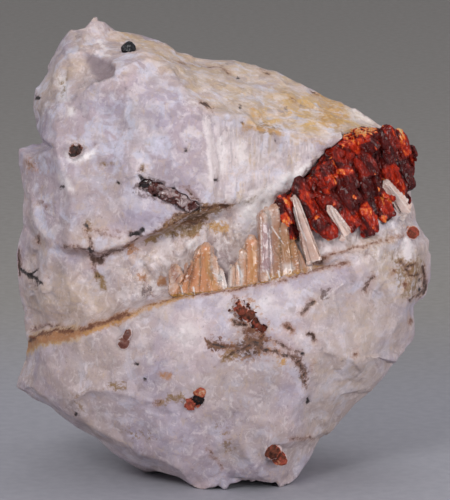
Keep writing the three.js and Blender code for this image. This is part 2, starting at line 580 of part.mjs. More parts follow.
const FINISHES = [
  { of: /^matrix$/, color: 0xc5b9bd, roughness: 0.6 },
  { of: /^zincite/, color: 0x8c1a0f, roughness: 0.2 },
  { of: /^gerstmannite_spray/, color: 0xc98f6c, roughness: 0.3 },
  { of: /^gerstmannite_blade/, color: 0xc4a79c, roughness: 0.3 },
  { of: /^franklinite/, color: 0x14161c, roughness: 0.25 },
  { of: /^garnet/, color: 0x5a2a1e, roughness: 0.35 },
  { of: /grains?$/, color: 0x7a3620, roughness: 0.4 },
];

// The outline is drawn a little off the middle of the block: this brings the middle over the origin.
const box = new THREE.Box3().setFromObject(new THREE.Mesh(geometryOf(joined(Object.values(pieces)))));
const middle = box.getCenter(new THREE.Vector3());
const specimen = new THREE.Group();
specimen.position.set(-middle.x, -middle.y, 0);
for (const [name, solid] of Object.entries(pieces)) {
  const { color, roughness } = FINISHES.find((finish) => finish.of.test(name));
  const mesh = new THREE.Mesh(
    geometryOf(solid),
    new THREE.MeshStandardMaterial({ color, roughness, metalness: 0 }),
  );
  mesh.name = name;
  specimen.add(mesh);
}

const part = new THREE.Group();
part.add(specimen);
export default part;
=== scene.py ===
"""Looks of a gerstmannite and zincite vein specimen on its pale rock matrix.

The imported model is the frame. Every piece is worked out from the mesh or the box of the node that it stands
for, in millimetres, and is handed over in metres. Marks on the rock are placed on its face, in percent of the
block's width and height as seen along a line of sight that comes down a little on the front.
"""

import logging
import math
from dataclasses import dataclass, field
from enum import Enum

import bmesh
import bpy
import numpy as np
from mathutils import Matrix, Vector


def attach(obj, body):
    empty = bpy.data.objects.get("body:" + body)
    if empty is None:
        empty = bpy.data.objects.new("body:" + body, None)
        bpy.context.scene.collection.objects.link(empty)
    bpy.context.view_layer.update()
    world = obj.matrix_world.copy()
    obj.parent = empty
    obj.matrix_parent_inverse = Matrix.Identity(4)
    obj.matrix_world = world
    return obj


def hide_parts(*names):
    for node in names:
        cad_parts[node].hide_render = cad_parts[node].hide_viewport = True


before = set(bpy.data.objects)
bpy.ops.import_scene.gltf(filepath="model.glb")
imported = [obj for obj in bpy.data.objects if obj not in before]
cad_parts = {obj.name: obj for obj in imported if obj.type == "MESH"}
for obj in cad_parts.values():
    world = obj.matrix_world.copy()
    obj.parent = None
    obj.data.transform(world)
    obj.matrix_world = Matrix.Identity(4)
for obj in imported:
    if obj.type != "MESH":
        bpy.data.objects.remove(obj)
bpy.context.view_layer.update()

LOG = logging.getLogger("specimen")
MM = 0.001
BODY = "root"
SIGHT_DOWN = math.radians(10.0)
TOWARDS_VIEWER = np.array([0.0, -math.cos(SIGHT_DOWN), math.sin(SIGHT_DOWN)])

Colour = tuple[float, float, float]
Point2 = tuple[float, float]
Point3 = tuple[float, float, float]
Array = np.ndarray
Socket = bpy.types.NodeSocket
Material = bpy.types.Material
Object = bpy.types.Object
SCRAMBLE = (73856093, 19349663, 83492791)
SEED_SCRAMBLE = 2654435761
LOW_BITS = 0x7FFFFFFF


def each(kind: type, *rows: tuple) -> tuple:
    """Makes one of a kind from each row of its values."""
    return tuple(kind(*row) for row in rows)


# ---- Numbers over a surface ----


def smooth(low: float, high: float, value: Array) -> Array:
    """Goes softly from 0 where the value is low to 1 where it is high; high may be the smaller one."""
    share = np.clip((value - low) / (high - low), 0.0, 1.0)
    return share * share * (3.0 - 2.0 * share)


@dataclass(frozen=True)
class LatticeNoise:
    """Seeded gradient noise in space, worked out for many points at once."""

    seed: int

    def _gradients(self, corner: Array) -> Array:
        """Gives the slope that belongs to each whole-number corner of the lattice.

        Args:
            corner: Whole numbers, three to a row.

        Returns:
            One unit-sized slope per row.
        """
        spread = corner * np.array(SCRAMBLE)
        mixed = (spread[:, 0] ^ spread[:, 1] ^ spread[:, 2] ^ self.seed * SEED_SCRAMBLE) & LOW_BITS
        mixed = (mixed * 1103515245 + 12345) & LOW_BITS
        mixed = ((mixed >> 7) ^ mixed) * 16807 & LOW_BITS
        turn = (mixed % 4096) / 4096.0 * 2.0 * math.pi
        rise = ((mixed >> 12) % 4096) / 2048.0 - 1.0
        flat = np.sqrt(np.clip(1.0 - rise * rise, 0.0, 1.0))
        return np.stack([flat * np.cos(turn), flat * np.sin(turn), rise], axis=1)

    def at(self, points: Array, span: float) -> Array:
        """Noise at each point.

        Args:
            points: Places, three numbers to a row.
            span: Distance over which the noise changes.

        Returns:
            Numbers around 0, mostly from -0.7 to 0.7.
        """
        scaled = points / span
        base = np.floor(scaled).astype(np.int64)
        inside = scaled - base
        fade = inside * inside * inside * (inside * (inside * 6.0 - 15.0) + 10.0)
        total = np.zeros(len(points))
        for step in np.ndindex(2, 2, 2):
            offset = np.array(step)
            slope = self._gradients(base + offset)
            dot = ((inside - offset) * slope).sum(axis=1)
            weight = np.where(offset == 1, fade, 1.0 - fade).prod(axis=1)
            total += dot * weight
        return total

    def layers(self, points: Array, span: float, count: int) -> Array:
        """Noise with finer layers on it, each half as wide and half as strong as the one before."""
        return sum(self.at(points + 17.3 * k, span / 2**k) / 2**k for k in range(count))


# ---- Meshes ----


@dataclass
class Sheet:
    """A triangle mesh in millimetres."""

    points: Array
    triangles: Array

    @classmethod
    def of_node(cls, node: str) -> "Sheet":
        """Reads the mesh of a node of the frame.

        Args:
            node: Name of the node.

        Returns:
            The node's mesh with its shared corners merged.
        """
        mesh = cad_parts[node].data
        mesh.calc_loop_triangles()
        points = np.array([vertex.co for vertex in mesh.vertices], float) / MM
        triangles = np.array([corner.vertices for corner in mesh.loop_triangles], np.int64)
        keys = np.round(points / 1e-3).astype(np.int64)
        _, first, inverse = np.unique(keys, axis=0, return_index=True, return_inverse=True)
        triangles = inverse.reshape(-1)[triangles]
        kept = (
            (triangles[:, 0] != triangles[:, 1])
            & (triangles[:, 1] != triangles[:, 2])
            & (triangles[:, 2] != triangles[:, 0])
        )
        return cls(points[first], triangles[kept])

    def normals(self) -> Array:
        """Outward unit normal at each point, weighted by the area of the faces round it."""
        a, b, c = (self.points[self.triangles[:, k]] for k in range(3))
        face = np.cross(b - a, c - a)
        total = np.zeros_like(self.points)
        for k in range(3):
            for axis in range(3):
                total[:, axis] += np.bincount(
                    self.triangles[:, k], weights=face[:, axis], minlength=len(self.points)
                )
        return total / np.maximum(np.linalg.norm(total, axis=1, keepdims=True), 1e-9)

    def split(self, longest: "SideLimit") -> "Sheet":
        """Splits every side that is too long at its middle, again and again, with no cracks between faces.

        Args:
            longest: Gives the longest side allowed near a place.

        Returns:
            The finer mesh.
        """
        points, triangles = self.points, self.triangles
        while True:
            sides = np.sort(np.concatenate([triangles[:, [k, (k + 1) % 3]] for k in range(3)]), axis=1)
            keys, inverse = np.unique(sides[:, 0] * len(points) + sides[:, 1], return_inverse=True)
            ends = points[keys // len(points)], points[keys % len(points)]
            middle = (ends[0] + ends[1]) / 2.0
            long = np.linalg.norm(ends[0] - ends[1], axis=1) > longest.at(middle)
            if not long.any():
                return Sheet(points, triangles)
            index = np.full(len(keys), -1)
            index[long] = len(points) + np.arange(long.sum())
            points = np.vstack([points, middle[long]])
            triangles = self._cut(triangles, index[inverse.reshape(-1)].reshape(3, -1).T)

    @staticmethod
    def _cut(triangles: Array, cuts: Array) -> Array:
        """Divides triangles at the new points on their sides.

        Args:
            triangles: Corners, three to a row.
            cuts: For each triangle the new point on its three sides, or -1.

        Returns:
            The triangles with each divided one replaced by two, three or four.
        """
        count = (cuts >= 0).sum(axis=1)
        first_cut = np.argmax(cuts >= 0, axis=1)
        after_whole = (np.argmin(cuts >= 0, axis=1) + 1) % 3
        start = np.where(count == 2, after_whole, first_cut)
        order = (start[:, None] + np.arange(3)) % 3
        corner = np.take_along_axis(triangles, order, axis=1)
        cut = np.take_along_axis(cuts, order, axis=1)
        a, b, c = corner.T
        ab, bc, ca = cut.T
        patterns = {
            0: [(a, b, c)],
            1: [(a, ab, c), (ab, b, c)],
            2: [(ab, b, bc), (a, ab, bc), (a, bc, c)],
            3: [(a, ab, ca), (ab, b, bc), (ca, bc, c), (ab, bc, ca)],
        }
        made = [
            np.stack(three, axis=1)[count == number] for number, faces in patterns.items() for three in faces
        ]
        return np.concatenate(made)

    def relaxed(self, rounds: int, share: float | Array) -> "Sheet":
        """Draws each point towards the middle of its neighbours, which rounds off sharp edges a little.

        Args:
            rounds: How often.
            share: How much of the way each time, one number or one per point.

        Returns:
            The rounder mesh.
        """
        points = self.points.copy()
        ends = np.concatenate([self.triangles[:, [k, (k + 1) % 3]] for k in range(3)])
        number = np.bincount(ends[:, 0], minlength=len(points)).astype(float)
        for _ in range(rounds):
            for axis in range(3):
                around = np.bincount(ends[:, 0], weights=points[ends[:, 1], axis], minlength=len(points))
                points[:, axis] += share * (around / number - points[:, axis])
        return Sheet(points, self.triangles)


@dataclass(frozen=True)
class SideLimit:
    """Longest side of a face: short on the front that is looked at, longer on the back and underneath."""

    front: float
    back: float
    turn_from: float = 0.0
    turn_to: float = 1.0

    @classmethod
    def even(cls, side: float) -> "SideLimit":
        """The same longest side everywhere."""
        return cls(side, side)

    def at(self, points: Array) -> Array:
        """Longest side allowed at each point, in millimetres."""
        return self.front + (self.back - self.front) * smooth(self.turn_from, self.turn_to, points[:, 1])


def linked(name: str, data: bpy.types.ID) -> Object:
    """Makes an object of a mesh, a lamp or a camera and puts it into the scene."""
    made = bpy.data.objects.new(name, data)
    bpy.context.scene.collection.objects.link(made)
    return made


def make_object(
    name: str,
    sheet: Sheet,
    fields: dict[str, Array],
    material: Material,
    rounded: bool = False,
) -> Object:
    """Makes a Blender mesh object from a sheet.

    Args:
        name: Name of the piece.
        sheet: Its mesh, in millimetres.
        fields: Numbers on its points that the material reads, by name.
        material: Its finish.
        rounded: Whether light runs smoothly over its faces.

    Returns:
        The object, linked into the scene.
    """
    mesh = bpy.data.meshes.new(name)
    mesh.from_pydata((sheet.points * MM).tolist(), [], sheet.triangles.tolist())
    for key, values in fields.items():
        attribute = mesh.attributes.new(key, "FLOAT", "POINT")
        attribute.data.foreach_set("value", np.asarray(values, np.float32))
    mesh.polygons.foreach_set("use_smooth", [rounded] * len(mesh.polygons))
    mesh.validate()
    mesh.update()
    mesh.materials.append(material)
    return linked(name, mesh)


def seat(piece: Object, node: str) -> None:
    """Puts a finished piece in the place of its node.

    Args:
        piece: The piece, already in place.
        node: Node that it stands for.
    """
    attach(piece, BODY)
    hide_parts(node)
    LOG.info("%s: %d faces, in place of %s", piece.name, len(piece.data.polygons), node)


# ---- Node materials ----


class Wires:
    """A material's node tree, with short ways to add nodes and join them, and the colour laid so far."""

    def __init__(self, name: str) -> None:
        """Starts an empty material.

        Args:
            name: Name of the finish.
        """
        self.material = bpy.data.materials.new(name)
        self.material.use_nodes = True
        self.tree = self.material.node_tree
        self.tree.nodes.clear()
        self.output = self.tree.nodes.new("ShaderNodeOutputMaterial")
        self.here = self.place()
        self.colour: object = (0.0, 0.0, 0.0)

    def add(self, kind: str, inputs: dict[str, object] | None = None, **settings: object) -> bpy.types.Node:
        """Adds a node.

        Args:
            kind: Blender's name of the node type, without the ShaderNode before it.
            inputs: What goes into its sockets: numbers and colours, or the sockets of other nodes.
            settings: Values of the node's own options.

        Returns:
            The node.
        """
        node = self.tree.nodes.new("ShaderNode" + kind)
        for option, value in settings.items():
            setattr(node, option, value)
        for socket, value in (inputs or {}).items():
            self.put(node.inputs[socket], value)
        return node

    def put(self, socket: Socket, value: object) -> None:
        """Joins a socket to another one, or sets its value.

        Args:
            socket: The socket to fill.
            value: A socket, a number, or a colour or vector.
        """
        if isinstance(value, Socket):
            self.tree.links.new(value, socket)
        elif isinstance(value, tuple) and len(value) == 3 and len(socket.default_value) == 4:
            socket.default_value = (*value, 1.0)
        else:
            socket.default_value = value

    def vector(self, operation: str, first: object, second: object = (0.0, 0.0, 0.0)) -> Socket:
        """One sum or product of two vectors."""
        return self.add("VectorMath", {0: first, 1: second}, operation=operation).outputs[0]

    def place(self, stretch: Point3 = (1.0, 1.0, 1.0)) -> Socket:
        """Place on the piece in millimetres, times a stretch along each axis."""
        where = self.add("TexCoord").outputs["Object"]
        return self.vector("MULTIPLY", where, tuple(axis / MM for axis in stretch))

    def noise(
        self, where: Socket, scale: float, detail: float = 3.0, rough: float = 0.55, swirl: float = 0.0
    ) -> Socket:
        """Noise from 0 to 1 at a place.

        Args:
            where: Place, in millimetres.
            scale: Changes per millimetre.
            detail: Number of finer layers.
            rough: Strength of the finer layers.
            swirl: How far the pattern is drawn out into wisps.

        Returns:
            The noise value.
        """
        inputs = {"Vector": where, "Scale": scale, "Detail": detail, "Roughness": rough, "Distortion": swirl}
        return self.add("TexNoise", inputs).outputs["Fac"]

    def cells(self, where: Socket, scale: float) -> Socket:
        """A chance colour for each cell of a crackle pattern."""
        return self.add("TexVoronoi", {"Vector": where, "Scale": scale}).outputs["Color"]

    def blocks(self, where: Socket, scale: float, turn: float) -> Socket:
        """A chance colour for each straight-sided block of a pattern turned in the plane of the front."""
        turned = self.add("VectorRotate", {"Vector": where, "Angle": turn}, rotation_type="Y_AXIS")
        inputs = {"Vector": turned.outputs[0], "Scale": scale}
        return self.add("TexVoronoi", inputs, distance="CHEBYCHEV").outputs["Color"]

    def step(self, chance: Socket, amount: float) -> Socket:
        """Turns a chance colour into a step to any side."""
        middle = self.vector("SUBTRACT", chance, (0.5, 0.5, 0.5))
        return self.vector("MULTIPLY", middle, (amount, amount, amount))

    def warped(self, where: Socket, scale: float, amount: float) -> Socket:
        """A place moved to and fro, so that a pattern laid on it has uneven sides."""
        push = self.add("TexNoise", {"Vector": where, "Scale": scale}).outputs["Color"]
        return self.vector("ADD", where, self.step(push, amount))

    def part(self, colour: Socket, index: int) -> Socket:
        """One of the three numbers of a colour."""
        return self.add("SeparateColor", {0: colour}).outputs[index]

    def field(self, name: str) -> Socket:
        """A number stored on the points of the mesh."""
        return self.add("Attribute", attribute_name=name).outputs["Fac"]

    def math(self, operation: str, first: object, second: object = 0.0) -> Socket:
        """One sum, product or other reckoning with two numbers."""
        return self.add("Math", {0: first, 1: second}, operation=operation).outputs[0]

    def times(self, first: object, *others: object) -> object:
        """Product of two or more numbers."""
        for other in others:
            first = self.math("MULTIPLY", first, other)
        return first

    def ramp(self, value: Socket, low: float, high: float, start: float = 0.0, end: float = 1.0) -> Socket:
        """Softly maps low..high to start..end.

        Args:
            value: Number to map.
            low: Where the result is still start.
            high: Where the result has become end.
            start: First result.
            end: Last result.

        Returns:
            The mapped number.
        """
        inputs = {"Value": value, "From Min": low, "From Max": high, "To Min": start, "To Max": end}
        return self.add("MapRange", inputs, interpolation_type="SMOOTHSTEP").outputs[0]

    def mix(self, share: object, first: object, second: object, blend: str = "MIX") -> Socket:
        """Mixes two colours.

        Args:
            share: How much of the second, from 0 to 1.
            first: Colour where the share is 0.
            second: Colour where the share is 1.
            blend: Blender's name for the way of mixing.

        Returns:
            The mixed colour.
        """
        node = self.add("Mix", data_type="RGBA", blend_type=blend)
        for socket, value in ((node.inputs[0], share), (node.inputs[6], first), (node.inputs[7], second)):
            self.put(socket, value)
        return node.outputs[2]

    def lay(self, share: object, shade: object, blend: str = "MIX") -> None:
        """Lays a colour over the colour so far, as strongly as the share says."""
        self.colour = self.mix(share, self.colour, shade, blend)

    def tilted(self, cells: Socket, amount: float, normal: Socket | None = None) -> Socket:
        """A normal tipped a little another way in each cell, as on a face of many small crystals.

        Args:
            cells: Chance colour of the cells.
            amount: How far the normals tip.
            normal: Normal to start from, if it isn't the surface's own.

        Returns:
            The tipped normal.
        """
        normal = normal or self.add("NewGeometry").outputs["Normal"]
        return self.vector("NORMALIZE", self.vector("ADD", normal, self.step(cells, amount)))

    def bump(self, height: Socket, strength: float, depth: float, normal: object = None) -> Socket:
        """Normal of a surface with fine relief.

        Args:
            height: Height of the relief, from 0 to 1.
            strength: Share of the relief that shows.
            depth: Depth of the relief, in millimetres.
            normal: Normal to start from, if it isn't the surface's own.

        Returns:
            The normal.
        """
        inputs = {"Height": height, "Strength": strength, "Distance": depth * MM}
        if normal is not None:
            inputs["Normal"] = normal
        return self.add("Bump", inputs).outputs["Normal"]

    def surface(self, inputs: dict[str, object]) -> Material:
        """Ends the tree in one main shader with these inputs."""
        shader = self.add("BsdfPrincipled", inputs)
        self.tree.links.new(shader.outputs[0], self.output.inputs["Surface"])
        return self.material


# ---- The rock ----


class Mark(Enum):
    """A kind of mark on the rock, with the name of its colour and the start of its fields' names."""

    TAN = "tan"
    OCHRE = "ochre"
    ORANGE = "orange"
    RUST = "rust"
    OLIVE = "olive"
    GREY = "grey"
    LILAC = "lilac"
    WHITE = "white"
    STRAW = "straw"
    MAUVE = "mauve"
    BROWN = "brown"
    BLACK = "black"
    DUSK = "dusk"
    SNOW = "snow"

    @property
    def line(self) -> str:
        """Name of the field that holds the distance from the lines of this kind."""
        return self.value + "_line"

    @property
    def patch(self) -> str:
        """Name of the field that holds the strength of the patches of this kind."""
        return self.value + "_patch"


@dataclass(frozen=True)
class Stroke:
    """A dot, a streak or a crack: a line on the face of the rock, in percent of its width and height."""

    mark: Mark
    line: tuple[Point2, ...]
    half_width: float
    strength: float = 1.0


@dataclass(frozen=True)
class Patch:
    """A broad patch on the face of the rock: its outline in percent, and its soft edge in millimetres."""

    mark: Mark
    outline: tuple[Point2, ...]
    soft_edge: float
    strength: float = 1.0


def marked(kind: type, rows: dict[Mark, tuple]) -> tuple:
    """Makes strokes or patches of rows grouped by mark.

    Args:
        kind: Stroke or Patch.
        rows: By mark, the points as x, y, x, y and so on, the half width or soft edge, and the strength.

    Returns:
        The strokes or patches.
    """
    return tuple(
        kind(mark, tuple(zip(flat[::2], flat[1::2])), *rest)
        for mark, group in rows.items()
        for flat, *rest in group
    )


PATCHES = marked(Patch, {
    Mark.LILAC: (
        ((28.5, 85, 38.5, 85, 46, 76, 48, 64, 46, 59, 36, 55, 27, 53, 27.5, 62), 1.6, 0.75),
        ((6, 80, 17, 84, 26, 88, 26.5, 60, 14, 53, 6, 56, 3, 70), 3.0, 0.5),
        ((20, 20, 30, 27, 42, 24, 40, 12, 28, 10), 3.0, 0.6), ((34, 10, 44, 10, 52, 3, 42, 2), 2.0, 0.7),
    ),
    Mark.GREY: (
        ((20, 48, 27, 49, 31, 46, 30, 41, 22, 40), 1.4, 0.5),
        ((76, 54, 84, 56, 94, 58, 95, 52, 80, 48.6), 1.0, 0.55),
        ((31, 48, 38, 50, 40, 46, 36, 42, 30, 43), 1.2, 0.35),
        ((48, 26, 60, 26, 64, 18, 56, 12, 46, 16), 3.0, 0.5),
        ((50.5, 32.5, 54, 33, 55, 30, 51, 29.5), 0.8, 0.7),
        ((60.5, 32.5, 66, 31.5, 66, 29.5, 61, 30), 0.8, 0.7),
        ((8, 92, 14, 97, 18, 92, 14, 84, 9, 79, 4, 74, 4, 82), 2.0, 0.4),
    ),
    Mark.WHITE: (
        ((80, 80.5, 84, 81.5, 88, 77, 85, 76.8, 81, 77.6), 0.8, 0.55),
        ((52, 87.2, 54, 89.2, 58.4, 89, 59.4, 87, 57, 85.6, 53.4, 86), 0.5, 0.75),
        ((44.6, 90.8, 48, 91.2, 52, 90.4, 50, 89.6, 45, 90), 0.4, 0.5),
        ((55, 84.8, 57, 85, 57.2, 83.4, 55.4, 83.4), 0.3, 0.55),
        ((46, 78, 58, 75, 70, 73, 70, 66, 62, 61, 48, 60), 2.0, 0.45),
        ((26, 76, 30, 82, 34, 74, 33, 62, 28, 60), 2.0, 0.5),
        ((19, 49, 27, 53.2, 31, 53.6, 30, 51, 25, 49.6), 0.6, 0.6),
        ((52, 55, 56, 60, 62, 62, 60, 57, 57, 53, 53, 52), 1.0, 0.75),
        ((30, 47, 34, 51, 40, 52.4, 40, 49, 34, 46), 1.0, 0.5),
        ((41, 52, 43.6, 52.2, 44, 50, 41.6, 50), 0.4, 0.8), ((35, 39.4, 40, 41, 37, 43.6, 33, 44), 0.6, 0.5),
        ((40, 40, 60, 42.5, 72, 44, 66, 36, 52, 36, 42, 36), 2.0, 0.5),
        ((50, 39, 53, 39, 54, 34, 51, 34), 0.6, 0.5), ((36, 34, 46, 38, 46, 28, 38, 26), 2.0, 0.35),
        # Painted light: this faint white patch lightens the lower right facet, which faces down and away from
        # the lamps.
        ((66, 32, 80, 40, 92, 41, 95, 30, 84, 18, 72, 10), 3.0, 0.3),
        ((80, 50, 92, 51, 94, 44, 82, 44), 1.4, 0.35), ((92, 56, 98, 57, 100, 48, 95, 46), 1.4, 0.4),
        # Partly the white floor of the vein and partly painted light: this patch lightens a slope that faces
        # down under the upper block.
        ((52, 60, 56, 62, 64, 65, 70, 68, 70, 64, 62, 60, 58, 56, 54, 56), 0.7),
        # Painted light: this white patch lightens the bevel along the lower left, which faces down and lies
        # in shade.
        ((2, 20, 10, 16, 24, 8, 38, 2, 30, -2, 12, 4, 0, 14), 1.6, 0.65),
        ((13.2, 72.6, 18, 72.8, 18.8, 69, 16, 67.4, 13, 69), 0.5, 0.9),
    ),
    # These patches are the brightest white of the rock, and in part painted highlights.
    Mark.SNOW: (
        ((48.6, 73, 50.6, 73.4, 51, 66, 49, 65.4), 0.3, 0.45),
        ((53.4, 72.6, 55, 73, 55.4, 68, 53.8, 67.6), 0.3, 0.4),
        # Partly painted light: this lightens the slope under the upper block that faces down, over its white
        # crystals.
        ((54, 60.6, 58, 62.4, 64, 65.4, 70, 68, 70, 65, 64, 61.6, 59, 57, 55, 56), 0.6, 0.85),
        ((80, 80, 84, 81, 88, 77, 85, 76.8, 81, 77.6), 0.5, 0.5),
        ((41, 52, 43.6, 52.2, 44, 50, 41.6, 50), 0.4, 0.6),
        ((10.6, 86, 13, 86, 14, 81, 11.4, 80.6), 0.5, 0.5),
        ((13, 70.4, 15, 69.4, 18.6, 70.2, 20.6, 71.6, 19.4, 69, 15.6, 67.8, 13.4, 68.6), 0.4, 0.8),
        ((11, 66, 12.8, 65.8, 15.4, 62, 12.4, 62.6), 0.4, 0.5),
        ((13, 79.6, 15, 80, 15.2, 77.6, 13.2, 77.4), 0.4, 0.6),
        # Painted highlight: the short bright streak at the right end.
        ((93.4, 52.8, 95, 52.6, 95, 48.4, 93, 48.4), 0.3, 0.7),
        ((78, 74, 86, 73.6, 84, 71.6, 78, 71.8), 0.5, 0.5), ((57, 40, 62, 40.6, 60, 37.4, 56, 37), 0.8, 0.35),
        ((36, 33, 42, 35, 46, 33, 42, 29.6), 0.8, 0.35),
    ),
    Mark.DUSK: (
        ((46.4, 52.4, 51.6, 52.6, 52.6, 48, 49.4, 46.4, 46.4, 46.6), 0.6, 0.5),
        # Painted shade: this patch darkens the hollow near the summit, whose face lies in shadow.
        ((17, 91.5, 24.4, 88.7, 24.4, 86, 20, 84.4, 18.4, 88), 0.3, 0.9),
        ((56, 33, 61, 32, 60.4, 28.6, 54, 27), 0.7, 0.45),
    ),
    Mark.TAN: (
        ((20, 96, 27, 94, 37, 87, 42, 81.5, 48, 78, 55, 77, 66, 74, 73, 73, 84, 74, 93, 77, 81, 83, 72, 87,
          64, 91, 53, 94, 40, 96, 27, 98), 1.4, 0.9),
        ((86, 50, 98, 50, 99, 40, 90, 38, 86, 44), 1.6, 0.8), ((78, 52, 92, 55, 92, 51, 80, 49), 0.8, 0.5),
        ((13, 96, 18, 100, 27, 95, 26, 91, 18, 91, 14, 92), 0.8, 0.45),
        ((6, 86, 12, 90, 13, 84, 9, 79, 4, 78), 1.0, 0.3), ((9, 87, 13, 89.6, 15, 86.4, 11, 84), 0.8, 0.6),
        ((69, 36, 78, 43, 92, 42, 96, 33, 86, 26, 79, 28, 70, 31), 2.0, 0.35),
        ((70, 30, 84, 28, 94, 31, 84, 18, 74, 8, 70, 14), 3.0, 0.3),
        ((14, 54, 20, 56, 20, 50, 15, 50), 1.6, 0.5),
        ((2, 42, 12, 46, 20, 44, 24, 38, 14, 34, 3, 34), 2.4, 0.55),
        ((24, 48, 30, 51.5, 40, 52, 46, 54, 56, 55, 58, 50, 48, 49, 36, 43, 28, 40), 1.6, 0.3),
        ((36, 54, 37.8, 54, 38, 52.4, 36.2, 52.4), 0.4, 0.9), ((10, 88, 14, 91, 18.5, 90, 16, 86), 1.5, 0.5),
    ),
    Mark.STRAW: (
        ((23, 96.5, 26, 98, 34, 95, 44, 92, 42, 89, 32, 90, 25, 93), 1.4, 0.45),
        ((64, 77.8, 64.5, 81, 69, 82.5, 76, 83.5, 80.5, 82, 81, 77, 77, 74.6, 72, 74, 66, 75.5), 1.0, 0.95),
        ((55, 75.9, 57, 79, 60, 79.6, 63, 78.5, 64, 75.5, 58, 74.8), 0.7, 0.8),
        ((62, 82, 63, 83.8, 66.5, 83, 68.4, 81.2, 66, 80.2), 0.8, 0.9),
        ((77, 75.6, 81, 77, 85.5, 76, 84, 74, 78, 74.2), 0.6, 0.7),
    ),
    Mark.MAUVE: (
        ((30, 43.2, 32, 43.4, 34.2, 41, 31, 40.4), 0.4, 0.5),
        ((29, 62, 31, 65.6, 35, 64.4, 40, 62, 46, 59.6, 43, 58.4, 36, 60, 31, 61), 0.4, 0.55),
        ((51.4, 30.3, 55, 32.1, 59.6, 31.7, 61, 29.3, 57, 27.7, 52, 27.7), 0.7, 0.7),
        ((65.4, 29.1, 68.8, 28.3, 70.6, 24.1, 69.8, 21.3, 67.8, 24.3), 0.5, 0.6),
        ((73.4, 42, 75.4, 42, 74.6, 40.2, 73, 40), 0.3, 0.7),
    ),
    Mark.OCHRE: (
        ((73, 80.8, 78.5, 80.8, 80.4, 77.5, 78, 75.3, 72, 76.3), 0.8, 0.6),
        ((72, 83.6, 75, 84.4, 78.6, 82.4, 77.5, 81.4, 73.5, 82.2), 0.5, 0.9),
        ((46, 55.4, 48, 56.2, 51.5, 55.3, 51, 53.6, 47.5, 53.8), 0.5),
        ((62.4, 28.3, 65, 27.9, 64.8, 26.5, 63, 26.5), 0.4, 0.95),
    ),
    Mark.ORANGE: (
        ((51, 40, 57, 41, 63, 32, 62, 29.6, 55, 30, 51.6, 35), 0.8, 0.25),
        ((45.4, 31.9, 49, 33.1, 53, 31.7, 62, 32.7, 64.6, 27.7, 56, 27.1, 48, 28.1), 0.8, 0.25),
        ((41.8, 54, 44.4, 54.2, 44.6, 52.8, 42, 52.8), 0.35, 0.9),
        ((27, 51.2, 29, 51.6, 30, 50, 28.6, 48.8, 27.2, 49.4), 0.4, 0.9),
        ((34.4, 44.6, 36.8, 44.8, 37, 42.6, 34.8, 42.4), 0.35, 0.9),
        ((30, 45.4, 32.2, 45.4, 32.2, 43.4, 30, 43.2), 0.5, 0.6),
        ((3, 69.5, 7, 69, 7, 66.5, 3, 66.5), 1.2, 0.3),
    ),
    Mark.OLIVE: (
        ((49.6, 29.1, 52.4, 29.7, 54, 28.3, 50.6, 26.7), 0.4, 0.5),
        ((90, 48.6, 97, 48.6, 98.6, 42, 93, 40.4, 91, 45), 1.0, 0.6),
        ((55.2, 75.8, 60, 76.2, 64, 75, 62, 73.8, 56, 74.2), 0.5, 0.5),
        ((26, 13, 33, 13.6, 34.6, 11, 29, 10), 1.4, 0.25), ((48, 15, 50.6, 14.6, 53, 8, 50.6, 8), 1.0, 0.3),
        ((13, 20, 16, 20.4, 17.4, 16, 14.6, 15.4), 1.2, 0.2),
        ((31, 51.2, 33, 53.2, 36.7, 56, 39.6, 57.6, 43, 58.6, 46, 59.6, 50, 59.4, 52.4, 59.3, 50, 58, 47, 57,
          45.4, 54.6, 43.5, 53, 41, 52.7, 38.6, 52.8, 36.4, 53, 34, 51.8), 0.4, 0.95),
        ((11, 86.6, 13.6, 86.4, 13, 82, 11, 82), 0.8, 0.25),
        ((90, 48.5, 98, 47, 97.5, 43.5, 92, 44.5), 1.0, 0.75),
        ((23, 22.8, 26.8, 22.6, 26.6, 21, 23.2, 21.2), 0.5, 0.7),
        ((34, 18.6, 37, 20.4, 40.4, 20.6, 42, 19, 38, 18.6, 35.4, 17.6), 0.5, 0.65),
        ((17, 56, 19.4, 56, 19.4, 53.8, 17, 53.8), 0.4, 0.45),
    ),
    Mark.RUST: (
        ((52.4, 40.3, 55.4, 38.7, 58, 33.7, 61.2, 32.3, 60, 31.1, 55, 32.2, 53, 36.2), 0.6, 0.85),
        ((46, 31.7, 48, 32.3, 51, 31.3, 53, 30.3, 49.6, 29.5, 46.4, 29.7), 0.4, 0.8),
    ),
    Mark.BROWN: (
        ((38, 56.4, 42, 58.2, 47, 59, 47, 57.4, 44, 55.4, 41.6, 53.6, 40, 55), 0.4, 0.6),
        ((48.2, 59.2, 51.6, 59.2, 52, 58.4, 48.4, 58.2), 0.3, 0.8),
        ((46.2, 31.5, 48, 32.1, 50.4, 30.9, 49.4, 29.5, 46.8, 29.9), 0.35, 0.8),
        ((53, 30.5, 56, 31.9, 60, 31.3, 58, 28.7, 53.8, 28.5), 0.4, 0.75),
        ((67, 27.7, 69, 26.7, 70.2, 24.1, 69.4, 21.7, 68, 24.3), 0.3, 0.4),
    ),
})

